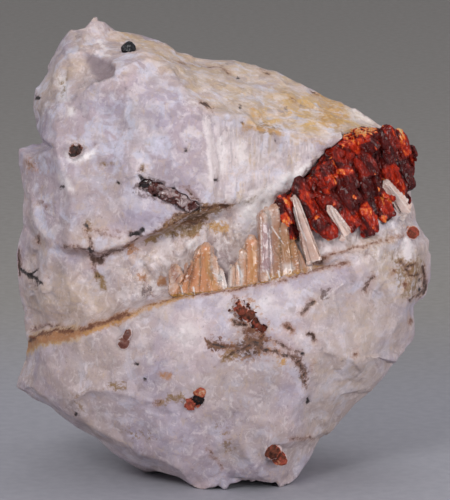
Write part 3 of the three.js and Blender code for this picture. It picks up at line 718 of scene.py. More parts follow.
STROKES = marked(Stroke, {
    Mark.WHITE: (
        # The two short white strokes near the summit are painted glints.
        ((20, 94, 22, 91.5), 0.25), ((19.5, 91, 23, 90.5), 0.2), ((46, 77, 47, 72, 47.5, 65), 0.5, 0.9),
        # The short upright white stroke at the right end is a painted highlight.
        ((69, 36.4, 72.2, 38.8, 75.8, 41.6, 78.3, 43.2), 0.14, 0.7), ((94.2, 52.7, 94, 48.3), 0.4, 0.9),
    ),
    Mark.TAN: (
        ((2.2, 29.4, 5.8, 31.4, 10.6, 32.2, 14.7, 32.6), 1.15),
    ),
    Mark.MAUVE: (
        ((65, 79.4), 0.2),
    ),
    Mark.OCHRE: (
        ((55, 75.4, 59, 75, 63.5, 74.4), 0.22, 0.8), ((63, 74, 68, 73, 74, 72), 0.14, 0.7),
        ((54.6, 76.2, 55, 74.4), 0.2, 0.7), ((56.5, 79.6, 57.4, 77, 59.6, 78.4), 0.16, 0.8),
        ((2.2, 28.2, 5.8, 30, 10.6, 31), 0.16, 0.8), ((17.9, 32.8, 22.7, 34.5, 27.5, 36.2), 0.14),
        ((27.5, 36.6, 33.6, 38.5, 39.6, 40.3, 43.2, 40.9), 0.24, 0.9),
        ((47, 41.6, 56, 43, 68.6, 45.6, 73.4, 47), 0.24, 0.8),
    ),
    Mark.ORANGE: (
        ((2.2, 29.4, 5.8, 31.4, 10.6, 32.2, 14.7, 32.6), 0.9, 0.8),
        ((15.4, 32.7, 17.9, 33.3, 22.7, 35, 27.5, 36.6), 0.55), ((35.7, 43.6), 0.5), ((31.2, 44.5), 0.3),
        ((35.5, 24.5, 37.5, 24), 0.6, 0.45), ((51.2, 35.5, 53, 35.3), 0.16, 0.7),
    ),
    Mark.OLIVE: (
        ((21, 67.7, 24.5, 67.9), 0.16, 0.8), ((51.7, 59, 54.6, 59.8, 58, 61.2), 0.12, 0.7),
        ((31.2, 67.4, 31.4, 66), 0.16, 0.9), ((20, 45, 21.2, 44.2, 21.8, 42.4), 0.5, 0.8),
        ((50.2, 27.5, 52.4, 28.7), 0.3, 0.8), ((14.3, 19.2, 17.9, 21.3, 23.4, 21.3), 0.1, 0.6),
        ((70.6, 38.4, 73, 40.4), 0.14, 0.8),
    ),
    Mark.RUST: (
        ((3, 68.5, 4.2, 68, 5.3, 66.6), 0.14, 0.8), ((3, 31, 5.8, 32.4, 10.6, 33.2, 14.4, 33.2), 0.4, 0.7),
        ((16.4, 33.3, 20, 34.4, 22.7, 35.4, 27.5, 36.9), 0.28, 0.9),
        ((27.5, 36.9, 33.6, 38.8, 39.6, 40.5, 43.2, 41.1), 0.06, 0.9),
        ((43, 41, 47, 41.2, 51.7, 41.8, 59.4, 43.2, 63.8, 43.7, 68.6, 45.1, 73.4, 46.4, 79.5, 47.3), 0.08),
        ((71, 47.3, 76, 49, 80.7, 50.4, 85.5, 51.5, 92.8, 53), 0.2, 0.7), ((53.2, 39.9, 54, 38.9), 0.2, 0.9),
        ((53.6, 39.2, 55.6, 36.8, 57, 34.8, 59.4, 32.8), 0.3, 0.85), ((65, 34.9, 66, 33.5), 0.34),
        ((81.4, 28.5), 0.3), ((90.6, 45.6), 0.36, 0.8), ((93.5, 42.8), 0.36, 0.8), ((95.2, 35), 0.28),
    ),
    Mark.BROWN: (
        ((71.8, 83.8, 73, 83.2), 0.3, 0.8), ((44.6, 80.4, 46, 80, 47.4, 79), 0.12),
        ((39, 89.6, 43, 89.2, 47, 88.6, 49.5, 88.8, 51.6, 87.4), 0.08, 0.8),
        ((58.6, 89.2, 60, 87.8, 61.4, 87.4), 0.08, 0.8), ((63, 88.3, 66, 87.9), 0.1, 0.9),
        ((66, 82.2, 67.5, 81.2), 0.08, 0.6), ((56, 90.5), 0.25), ((69, 86.7), 0.29), ((23.5, 97), 0.29),
        ((31, 66.7), 0.29, 0.8), ((5.8, 60, 7.3, 59.8, 8.7, 58.7), 0.1, 0.8), ((6, 52.6, 6, 52), 0.14),
        ((12.6, 50.8, 16, 50.4, 18.6, 49.8), 0.08), ((18.6, 49.8, 21, 49.2, 24, 50.2), 0.1, 0.7),
        ((19.4, 48.4, 20.8, 48.2, 23.4, 49.6, 26.4, 50.2, 28.4, 51.2, 30.5, 52.2), 0.13),
        ((19.6, 48.2, 21, 47.6), 0.4), ((29.4, 51.4, 33, 53.2, 36.4, 55.4, 39, 57), 0.12, 0.75),
        ((39, 57, 42.5, 58.3, 46, 58.9, 51.7, 59), 0.2, 0.95),
        ((37.4, 55, 40, 55.8, 43.4, 55.2, 45.4, 56.4), 0.18, 0.75),
        ((19.6, 54.4, 24, 54.2, 29.4, 53.6), 0.05, 0.7), ((20, 53.6, 24, 53, 29.6, 52.8), 0.04, 0.6),
        ((40.6, 63.2, 42.6, 61.8, 44.2, 60), 0.08, 0.9), ((42, 63, 43, 61, 42.6, 59.4), 0.05, 0.8),
        ((18, 54.8, 18.6, 51.6, 18.8, 49.4, 19.4, 46.4, 20.2, 44.6), 0.1),
        ((18.4, 53.4, 19.2, 50.4, 19.6, 47), 0.1, 0.9), ((4, 33.4, 8, 34.3, 13, 34, 15.4, 33.4), 0.03),
        ((0.5, 50, 1.3, 45.5), 0.4, 0.8), ((52.6, 35.4, 55, 34.7), 0.2),
        ((46.8, 30.9, 48.4, 30.7, 50.2, 30.3, 52.6, 30.1), 0.16),
        ((50.8, 27.9, 53, 29.1, 55.4, 30.1, 58, 31.5, 60, 32.5), 0.15),
        ((54.8, 33.3, 56, 32.1, 56.6, 30.3), 0.22, 0.8), ((57.4, 30.9, 59, 29.9, 61, 29.3, 63, 29.1), 0.18),
        ((62.2, 31.3, 64.4, 30.3, 66.6, 29.3, 68.8, 28.6), 0.1), ((62.8, 28.9, 65.8, 28.3, 68, 26.9), 0.16),
        ((66.4, 27.7, 68, 26.3, 69.5, 24.1, 69.2, 22.1), 0.1), ((71.2, 27.3, 71.3, 25.1), 0.08, 0.7),
        ((65.4, 34.3, 65.9, 33.7), 0.24), ((70.2, 32.9, 71, 32.3, 71.6, 31.3), 0.22),
        ((71, 32.1, 71.8, 31.9), 0.08, 0.7), ((34, 18.1, 35, 18.8), 0.12, 0.8),
        ((46.4, 9, 49.8, 4.5), 0.16, 0.6), ((66, 11, 70, 10.8, 73.4, 10.3), 0.14, 0.7),
        ((68.4, 37.4, 70, 38.5, 71, 39.3), 0.28), ((83.6, 41.8, 84.4, 43.4, 85.7, 44.7), 0.2),
        ((98.2, 46.5, 98.8, 42, 98, 39), 0.22), ((94.6, 39.6, 96, 40.2, 98, 41.4), 0.12),
        ((92.5, 47.5, 94, 46.4, 96, 47.4), 0.14), ((93.6, 46, 95, 44.4, 97, 45), 0.1),
    ),
    Mark.BLACK: (
        ((54, 79.7), 0.2), ((54.5, 76.4), 0.18), ((62, 72.8), 0.2), ((53.5, 86.5), 0.18),
        ((5.2, 82, 5.8, 82), 0.25), ((33.5, 73), 0.22), ((41.3, 70.5), 0.25), ((48.3, 64.5), 0.2),
        ((12, 63), 0.21), ((25.5, 64), 0.2), ((28.4, 53.2, 30, 53.6, 31.4, 54.2), 0.24),
        ((29.4, 53.2, 31, 53, 32, 52.8), 0.1, 0.8), ((30.6, 65.2, 31.2, 64.4), 0.2),
        ((17.6, 55.2, 18.2, 54.8), 0.2), ((18.4, 50.4, 18.9, 49.6), 0.18), ((20.6, 44.8), 0.2),
        ((1.5, 46.2, 3.4, 45.2, 4.5, 44, 6.5, 43), 0.2), ((3.4, 45.2, 5.6, 45.9), 0.14),
        ((4.5, 44, 5, 42.4), 0.13), ((29.7, 26.6), 0.27), ((31.4, 23.4), 0.21), ((68.9, 28.5), 0.24),
        ((47.6, 30.9, 49.4, 30.4, 51, 30.3), 0.08), ((53, 29.2, 55, 30, 56.4, 30.8), 0.06),
        ((57.6, 31.2, 59.4, 30, 61, 29.4), 0.06), ((63.2, 29, 65.4, 28.5), 0.05),
        ((67.6, 26.9, 69, 25.2, 69.5, 23.8, 69.3, 22.4), 0.09), ((70.2, 19.2, 70.5, 18.6), 0.26, 0.9),
        ((15, 15.8), 0.21), ((97.3, 43.7), 0.22), ((97.3, 41.8), 0.22),
    ),
})


@dataclass(frozen=True)
class Face:
    """The face of the block laid out flat across the line of sight, in percent of its width and height."""

    low: Array
    size: Array

    @classmethod
    def of(cls, points: Array) -> "Face":
        """Measures the face of a mesh from its points."""
        flat = cls.flatten(points)
        return cls(flat.min(axis=0), flat.max(axis=0) - flat.min(axis=0))

    @staticmethod
    def flatten(points: Array) -> Array:
        """Places across and up the line of sight, in millimetres."""
        up = points[:, 2] * math.cos(SIGHT_DOWN) + points[:, 1] * math.sin(SIGHT_DOWN)
        return np.stack([points[:, 0], up], axis=1)

    def line(self, percents: tuple[Point2, ...]) -> Array:
        """Turns percents of the face into millimetres across it."""
        return self.low + np.array(percents, float) / 100.0 * self.size


def distance_to_line(flat: Array, line: Array, closed: bool = False) -> Array:
    """Distance of flat points from a line of straight stretches.

    Args:
        flat: Points, two numbers to a row.
        line: Points of the line.
        closed: Whether the last point joins the first.

    Returns:
        One distance per point.
    """
    ends = np.vstack([line, line[:1]]) if closed else line
    if len(ends) == 1:
        return np.linalg.norm(flat - ends[0], axis=1)
    nearest = np.full(len(flat), np.inf)
    for start, stop in zip(ends[:-1], ends[1:]):
        along = stop - start
        share = np.clip(((flat - start) @ along) / (along @ along), 0.0, 1.0)
        nearest = np.minimum(nearest, np.linalg.norm(flat - start - share[:, None] * along, axis=1))
    return nearest


def inside_outline(flat: Array, outline: Array) -> Array:
    """Tells which flat points lie inside an outline.

    Args:
        flat: Points, two numbers to a row.
        outline: Corners of the outline in order.

    Returns:
        True or False per point.
    """
    inside = np.zeros(len(flat), bool)
    for (x0, y0), (x1, y1) in zip(outline, np.roll(outline, -1, axis=0)):
        crosses = (y0 > flat[:, 1]) != (y1 > flat[:, 1])
        rise = np.where(np.isclose(y1, y0), 1.0, y1 - y0)
        inside ^= crosses & (flat[:, 0] < (x1 - x0) * (flat[:, 1] - y0) / rise + x0)
    return inside


@dataclass(frozen=True)
class Ledge:
    """A step in the face of the rock: what lies left of the line, seen along it, stands out or back."""

    line: tuple[Point2, ...]
    rise: float
    fade: float


LEDGES = each(
    Ledge,
    (((38.4, 86), (42, 80.4), (45.6, 76), (46.9, 71), (47.6, 64.5), (45.7, 59.5)), 0.13, 2.4),
    (((14.3, 19.2), (17.9, 21.3), (23.4, 21.3), (27, 20.5), (31.2, 19.2)), -0.24, 4.0),
    (((10.6, 80.5), (14.3, 81.2), (17.4, 83.3), (20.3, 85), (23.4, 86.9), (28.3, 88.3)), -0.5, 2.6),
    (((19.6, 96), (20.6, 92.6), (18.4, 89.6), (17.6, 86)), 0.35, 2.0),
    (((12, 92), (14, 88), (13, 83)), 0.3, 1.8),
    (((34, 18.1), (37, 19.8), (39.6, 20.5), (42, 19.2)), -0.15, 2.0),
    (((48, 74), (52, 74.5), (56, 72)), -0.18, 1.6), (((47, 36), (52, 33), (60, 30), (68, 27)), -0.15, 3.0),
    (((18, 40), (26, 30), (30, 20)), -0.12, 3.5), (((52, 42), (56, 36), (64, 31)), 0.12, 3.0),
    (((79.5, 28), (86, 27), (92.3, 28.7)), -0.18, 2.4),
)
SOFT_FOLDS = (
    ((27, 90), (27, 74), (26.8, 56)),
    ((50, 57.6), (56, 60.6), (62, 63), (67, 66), (71, 69)),
)
DENT_ZONE = ((16.6, 91.6), (24.4, 88.6), (24.2, 86.2), (20.4, 84.4), (18.6, 88))
DENT_FOOT = ((24.4, 87.4), (20.4, 84.4))
LATH_ZONE = ((46, 78), (58, 75.5), (72, 73.5), (71, 62), (60, 59.5), (48, 58.5))
VEIN_ZONE = (
    (24, 38), (28, 48.5), (36, 52), (46, 56), (58, 60), (66, 62), (72, 70), (80, 74),
    (96, 58), (92, 48), (78, 47), (60, 44), (47, 42), (35, 40),
)
CALM_ZONES = (
    ((8, 55), (10, 78), (26, 86), (26, 60)),
    ((30, 62), (31, 82), (40, 82), (46, 72), (45, 63)),
    ((72, 36), (84, 41), (93, 38), (90, 30), (78, 30)),
    ((24, 22), (34, 34), (46, 34), (40, 22)),
    ((2, 22), (18, 31), (44, 38), (60, 28), (58, 6), (44, 0), (30, 3), (14, 12)),
)


@dataclass(frozen=True)
class Crackle:
    """A broken surface of many small flat faces, each tipped its own way round a seeded point."""

    seed: int
    size: float
    tip: float
    step: float
    stretch: Point3 = (1.0, 1.0, 1.0)

    def height(self, points: Array) -> Array:
        """Height of the broken surface over the plain one, in millimetres, at each place."""
        return self.height_and_tone(points)[0]

    def height_and_tone(self, points: Array) -> tuple[Array, Array]:
        """Height of the broken surface over the plain one, and a chance number for each of its small faces.

        Args:
            points: Places in millimetres, three to a row.

        Returns:
            One height in millimetres and one number from -1 to 1 per place.
        """
        chance = np.random.default_rng(self.seed)
        scaled = points * np.array(self.stretch)
        bend = LatticeNoise(self.seed)
        bends = [bend.at(scaled + 31.0 * k, 0.6 * self.size) for k in range(3)]
        scaled = scaled + 0.12 * self.size * np.stack(bends, axis=1)
        low, high = scaled.min(axis=0) - self.size, scaled.max(axis=0) + self.size
        axes = [np.arange(start, stop, self.size) for start, stop in zip(low, high)]
        lattice = np.stack(np.meshgrid(*axes, indexing="ij"), axis=-1).reshape(-1, 3)
        seeds = lattice + chance.uniform(-0.45, 0.45, lattice.shape) * self.size
        tips = chance.normal(size=lattice.shape) * self.tip
        steps = chance.uniform(-1.0, 1.0, len(lattice)) * self.step
        nearest = nearest_seed(scaled, seeds, low, self.size, [len(axis) for axis in axes])
        tones = chance.uniform(-1.0, 1.0, len(lattice))
        return ((scaled - seeds[nearest]) * tips[nearest]).sum(axis=1) + steps[nearest], tones[nearest]


def nearest_seed(points: Array, seeds: Array, low: Array, size: float, counts: list[int]) -> Array:
    """Finds the nearest of the seeds that lie one in each cell of a lattice.

    Args:
        points: Places, three numbers to a row.
        seeds: One seed per cell, the last axis running fastest.
        low: Lowest corner of the lattice.
        size: Side of a cell.
        counts: Number of cells along each axis.

    Returns:
        Index of the nearest seed for each place.
    """
    cell = np.round((points - low) / size).astype(np.int64)
    best = np.full(len(points), np.inf)
    chosen = np.zeros(len(points), np.int64)
    for step in np.ndindex(3, 3, 3):
        near = np.clip(cell + np.array(step) - 1, 0, np.array(counts) - 1)
        index = (near[:, 0] * counts[1] + near[:, 1]) * counts[2] + near[:, 2]
        distance = ((points - seeds[index]) ** 2).sum(axis=1)
        closer = distance < best
        best[closer] = distance[closer]
        chosen[closer] = index[closer]
    return chosen


@dataclass(frozen=True)
class Markings:
    """The marks of one piece, laid out on the face of the block."""

    face: Face
    patches: tuple[Patch, ...]
    strokes: tuple[Stroke, ...]
    far: float = 3.0

    @staticmethod
    def wavered(points: Array) -> Array:
        """Flat places on the face, moved a little to and fro so that no mark has a ruled edge."""
        noise = LatticeNoise(3)
        moves = [0.4 * noise.layers(points + 40.0 * k, 1.9, 3) for k in range(2)]
        return Face.flatten(points) + np.stack(moves, axis=1)

    def zone(self, flat: Array, outline: tuple[Point2, ...], soft_edge: float) -> Array:
        """How far each point belongs to a zone, from 0 to 1."""
        corners = self.face.line(outline)
        side = np.where(inside_outline(flat, corners), 1.0, -1.0)
        return smooth(-soft_edge, soft_edge, side * distance_to_line(flat, corners, closed=True))

    def fields(self, flat: Array, seen: Array) -> dict[str, Array]:
        """All the fields that a finish reads.

        Args:
            flat: Flat place of each point.
            seen: How much each point faces the front.

        Returns:
            By name, the distance in millimetres from the lines of each kind, less than 0 inside them, and the
            strength of the patches of each kind, from 0 to 1.
        """
        fields = {mark.line: np.full(len(flat), self.far) for mark in Mark}
        fields |= {mark.patch: np.zeros(len(flat)) for mark in Mark}
        for stroke in self.strokes:
            away = distance_to_line(flat, self.face.line(stroke.line)) - stroke.half_width
            away += 0.5 * (1.0 - stroke.strength) + self.far * (1.0 - seen)
            fields[stroke.mark.line] = np.minimum(fields[stroke.mark.line], away)
        for patch in self.patches:
            share = patch.strength * seen * self.zone(flat, patch.outline, patch.soft_edge)
            fields[patch.mark.patch] = np.maximum(fields[patch.mark.patch], share)
        return fields


@dataclass(frozen=True)
class Shades:
    """The colours of a finish; a mark takes the colour of its own name."""

    def shade(self, mark: Mark) -> Colour:
        """Colour of a mark."""
        return getattr(self, mark.value)


@dataclass(frozen=True)
class RockFinish(Shades):
    """Pale willemite and calcite rock: pinkish white, lilac where it is clear, with stains and dark lines."""

    pink: Colour = (0.50, 0.385, 0.40)
    lilac: Colour = (0.41, 0.345, 0.42)
    beige: Colour = (0.50, 0.385, 0.34)
    warm: Colour = (0.50, 0.375, 0.35)
    white: Colour = (0.75, 0.66, 0.66)
    ice: Colour = (0.62, 0.61, 0.72)
    snow: Colour = (0.94, 0.88, 0.87)
    grey: Colour = (0.30, 0.245, 0.27)
    tan: Colour = (0.56, 0.41, 0.275)
    straw: Colour = (0.63, 0.385, 0.135)
    ochre: Colour = (0.50, 0.27, 0.09)
    orange: Colour = (0.40, 0.19, 0.09)
    rust: Colour = (0.15, 0.055, 0.03)
    olive: Colour = (0.24, 0.14, 0.055)
    mauve: Colour = (0.13, 0.08, 0.075)
    brown: Colour = (0.060, 0.026, 0.016)
    black: Colour = (0.02, 0.015, 0.015)
    dusk: Colour = (0.25, 0.19, 0.205)

    def material(self) -> Material:
        """Makes the rock's material.

        Returns:
            The material.
        """
        wires = Wires("pale_rock")
        uneven = wires.warped(wires.here, 0.25, 1.6)
        glassy = wires.field("glassy")
        fine = wires.noise(wires.here, 2.4, 4.0, 0.6)
        middle = wires.noise(wires.here, 0.42, 4.0, 0.55, 0.5)
        streaky = wires.noise(wires.place((0.2, 0.2, 1.6)), 1.1, 5.0, 0.7)
        speckled = wires.noise(wires.here, 1.3, 5.0, 0.7, 0.3)
        large, small = wires.blocks(uneven, 0.2, 0.35), wires.blocks(uneven, 0.75, -0.2)
        self.ground(wires, large)
        wires.lay(wires.times(glassy, 0.7), self.warm)
        self.patches(wires, middle, (Mark.LILAC, Mark.GREY, Mark.WHITE))
        self.patches(wires, streaky, (Mark.TAN, Mark.STRAW))
        self.clouds(wires, middle, small)
        wires.lay(wires.times(wires.ramp(fine, 0.48, 0.34), 0.2), self.grey)
        # Dusk patches: one is painted shade in the hollow near the summit, the others are the rock's own dull
        # mauve.
        wires.lay(wires.field(Mark.DUSK.patch), self.dusk)
        self.columns(wires)
        self.sparkle(wires, glassy)
        # The brightest white patches, laid last: partly painted highlights.
        self.patches(wires, speckled, (Mark.SNOW,))
        self.stains(wires, speckled)
        tone = wires.math(
            "ADD",
            wires.ramp(wires.part(large, 0), 0.0, 1.0, -0.05, 0.05),
            wires.ramp(wires.part(small, 0), 0.0, 1.0, 0.95, 1.05),
        )
        even = wires.add("CombineColor", {0: tone, 1: tone, 2: tone}).outputs[0]
        wires.lay(1.0, even, "MULTIPLY")
        self.lines(wires, fine)
        normal = wires.tilted(small, 0.07, wires.tilted(large, 0.09))
        normal = wires.tilted(wires.cells(wires.here, 2.2), 0.1, normal)
        rough = wires.ramp(wires.noise(wires.here, 0.8, 3.0), 0.35, 0.65, 0.42, 0.66)
        return wires.surface(
            {
                "Base Color": wires.colour,
                "Roughness": wires.times(rough, wires.ramp(glassy, 0.0, 1.0, 1.0, 0.55)),
                "Normal": wires.bump(wires.noise(wires.here, 1.4, 6.0, 0.65), 0.7, 0.06, normal),
                "IOR": 1.55,
                "Specular IOR Level": 0.3,
                "Subsurface Weight": 0.2,
                "Subsurface Radius": (1.0, 0.8, 0.85),
                "Subsurface Scale": 0.0012,
            }
        )

    def ground(self, wires: Wires, large: Socket) -> None:
        """Starts with pink, lilac and beige in soft fields, and greys the block towards the bottom as painted
        shade.

        Args:
            wires: The material's nodes.
            large: Chance colour of the large blocks.
        """
        wires.colour = self.pink
        wires.lay(wires.ramp(wires.noise(wires.here, 0.13, 5.0, 0.5, 0.4), 0.42, 0.58), self.lilac)
        wires.lay(wires.ramp(wires.noise(wires.here, 0.09, 5.0, 0.6, 0.6), 0.42, 0.6, 0.0, 0.85), self.beige)
        wires.lay(wires.times(wires.part(large, 1), 0.25), self.lilac)
        # Painted shade: the rock turns greyer towards the bottom of the block.
        wires.lay(wires.ramp(wires.part(wires.here, 2), 32.0, 6.0, 0.0, 0.25), self.grey)

    def clouds(self, wires: Wires, middle: Socket, small: Socket) -> None:
        """Adds frosty clouds, straight-sided cleavage patches and thin tan seams.

        Args:
            wires: The material's nodes.
            middle: Noise of the clouds.
            small: Chance colour of the small blocks.
        """
        height = wires.ramp(wires.part(wires.here, 2), 22.0, 38.0, 0.5, 1.0)
        height = wires.times(height, wires.ramp(wires.field(Mark.GREY.patch), 0.2, 1.0, 1.0, 0.15))
        where = wires.times(wires.ramp(wires.noise(wires.here, 0.11, 3.0), 0.44, 0.6, 0.5, 1.0), height)
        cloudy = wires.times(wires.ramp(middle, 0.48, 0.62, 0.0, 0.72), where)
        cleaved = wires.times(wires.ramp(wires.part(small, 2), 0.6, 0.66), wires.ramp(middle, 0.4, 0.56))
        share = wires.math("MAXIMUM", cloudy, wires.times(cleaved, where, 0.55))
        cold = wires.ramp(wires.noise(wires.here, 0.22, 3.0), 0.44, 0.56)
        wires.lay(share, wires.mix(cold, self.white, self.ice))
        broken = wires.noise(wires.place((1.0, 1.0, 0.7)), 0.8, 6.0, 0.7, 1.2)
        wires.lay(wires.ramp(broken, 0.53, 0.63, 0.0, 0.42), self.white)
        wires.lay(wires.ramp(broken, 0.45, 0.35, 0.0, 0.34), self.tan)
        dull = wires.times(wires.ramp(wires.part(small, 1), 0.7, 0.76), wires.ramp(middle, 0.56, 0.42))
        wires.lay(wires.times(dull, where, 0.4), self.grey)
        spread = wires.ramp(wires.noise(wires.here, 0.16, 3.0), 0.48, 0.6, 0.1, 1.0)
        for scale, width, shade, amount in ((0.3, 0.012, self.tan, 0.35), (0.7, 0.014, self.mauve, 0.2)):
            noise = wires.noise(wires.here, scale, 5.0, 0.6, 0.8)
            vein = wires.ramp(wires.math("ABSOLUTE", wires.math("SUBTRACT", noise, 0.5)), width, 0.0)
            wires.lay(wires.times(vein, spread, amount), shade)

    def columns(self, wires: Wires) -> None:
        """Draws the upright laths of the cleaved face."""
        lath = wires.field("lath")
        broad = wires.noise(wires.place((1.0, 1.0, 0.1)), 0.75, 3.0, 0.6)
        narrow = wires.noise(wires.place((1.0, 1.0, 0.08)), 2.2, 2.0, 0.5)
        patchy = wires.ramp(wires.noise(wires.here, 0.5, 4.0, 0.6, 0.8), 0.42, 0.58, 0.2, 1.0)
        for noise, low, high, amount, shade in (
            (broad, 0.48, 0.56, 0.6, self.white),
            (broad, 0.47, 0.36, 0.7, self.tan),
            (narrow, 0.44, 0.34, 0.4, self.grey),
            (narrow, 0.56, 0.64, 0.4, self.white),
        ):
            wires.lay(wires.times(wires.ramp(noise, low, high), lath, amount, patchy), shade)

    def sparkle(self, wires: Wires, glassy: Socket) -> None:
        """Scatters frosty flecks, and tan and clear spots on the glassy floor of the vein.

        Args:
            wires: The material's nodes.
            glassy: How far a place belongs to that floor.
        """
        lumps = wires.noise(wires.here, 0.6, 4.0, 0.6, 0.3)
        wires.lay(wires.times(wires.ramp(lumps, 0.46, 0.6), glassy, 0.6), self.white)
        wires.lay(wires.times(wires.ramp(lumps, 0.42, 0.34), glassy, 0.5), self.grey)
        flecks = wires.ramp(wires.noise(wires.place((1.0, 1.0, 0.6)), 3.6, 3.0), 0.58, 0.66)
        wires.lay(wires.times(flecks, wires.ramp(glassy, 0.0, 1.0, 0.06, 0.6)), self.white)
        spots = wires.ramp(wires.noise(wires.here, 0.9, 5.0, 0.7, 0.6), 0.57, 0.68)
        wires.lay(wires.times(spots, glassy, 0.7), self.tan)

    def patches(self, wires: Wires, breaker: Socket, marks: tuple[Mark, ...]) -> None:
        """Lays broad patches.

        Args:
            wires: The material's nodes.
            breaker: Noise that breaks the patches up.
            marks: The kinds of patch, in the order in which they are laid.
        """
        broken = wires.ramp(breaker, 0.34, 0.6, 0.4, 1.0)
        for mark in marks:
            wires.lay(wires.times(wires.field(mark.patch), broken), self.shade(mark))

    def stains(self, wires: Wires, breaker: Socket) -> None:
        """Lays stains with ragged edges: a weak stain is a scatter of specks.

        Args:
            wires: The material's nodes.
            breaker: Noise that breaks the stains up.
        """
        uneven = wires.ramp(wires.noise(wires.here, 2.0, 4.0, 0.7), 0.36, 0.56, 0.7, 1.0)
        for mark in (Mark.MAUVE, Mark.OCHRE, Mark.ORANGE, Mark.OLIVE, Mark.RUST, Mark.BROWN):
            stain = wires.field(mark.patch)
            ragged = wires.math("ADD", stain, wires.ramp(breaker, 0.3, 0.7, -0.75, 0.75))
            inside = wires.times(wires.ramp(stain, 0.02, 0.2), wires.ramp(stain, 0.2, 1.0, 0.8, 1.0))
            wires.lay(wires.times(wires.ramp(ragged, 0.15, 0.85), inside, uneven), self.shade(mark))

    def lines(self, wires: Wires, fine: Socket) -> None:
        """Draws dots, streaks and cracks, with ragged edges and a stain round the dark ones; the black lines
        also hold the painted shade in the hollow under the foot.

        Args:
            wires: The material's nodes.
            fine: Fine noise.
        """
        ragged = wires.noise(wires.here, 1.6, 6.0, 0.75)
        wander = wires.times(wires.math("SUBTRACT", ragged, 0.5), 1.9)
        for mark, shade, reach, amount in (
            (Mark.BROWN, self.orange, 0.8, 0.3),
            (Mark.BROWN, self.rust, 0.4, 0.55),
            (Mark.BLACK, self.mauve, 0.22, 0.6),
            (Mark.RUST, self.orange, 0.7, 0.5),
        ):
            away = wires.math("ADD", wires.field(mark.line), wander)
            wires.lay(wires.ramp(away, reach, -0.1, 0.0, amount), shade)
        edges = {
            Mark.WHITE: 0.22,
            Mark.TAN: 0.5,
            Mark.ORANGE: 0.4,
            Mark.OCHRE: 0.4,
            Mark.OLIVE: 0.4,
            Mark.MAUVE: 0.3,
            Mark.RUST: 0.22,
            Mark.BROWN: 0.13,
            Mark.BLACK: 0.1,
        }
        faded = wires.ramp(wires.noise(wires.here, 0.9, 4.0, 0.65, 0.3), 0.38, 0.52, 0.4, 1.0)
        grainy = wires.ramp(fine, 0.3, 0.5, 0.6, 1.0)
        for mark, edge in edges.items():
            sway = 0.3 if mark is Mark.BLACK else 0.6 + edge
            away = wires.math("ADD", wires.field(mark.line), wires.times(wander, sway))
            share = wires.times(wires.ramp(away, edge, -edge), grainy)
            wires.lay(wires.times(share, faded) if mark is Mark.BROWN else share, self.shade(mark))


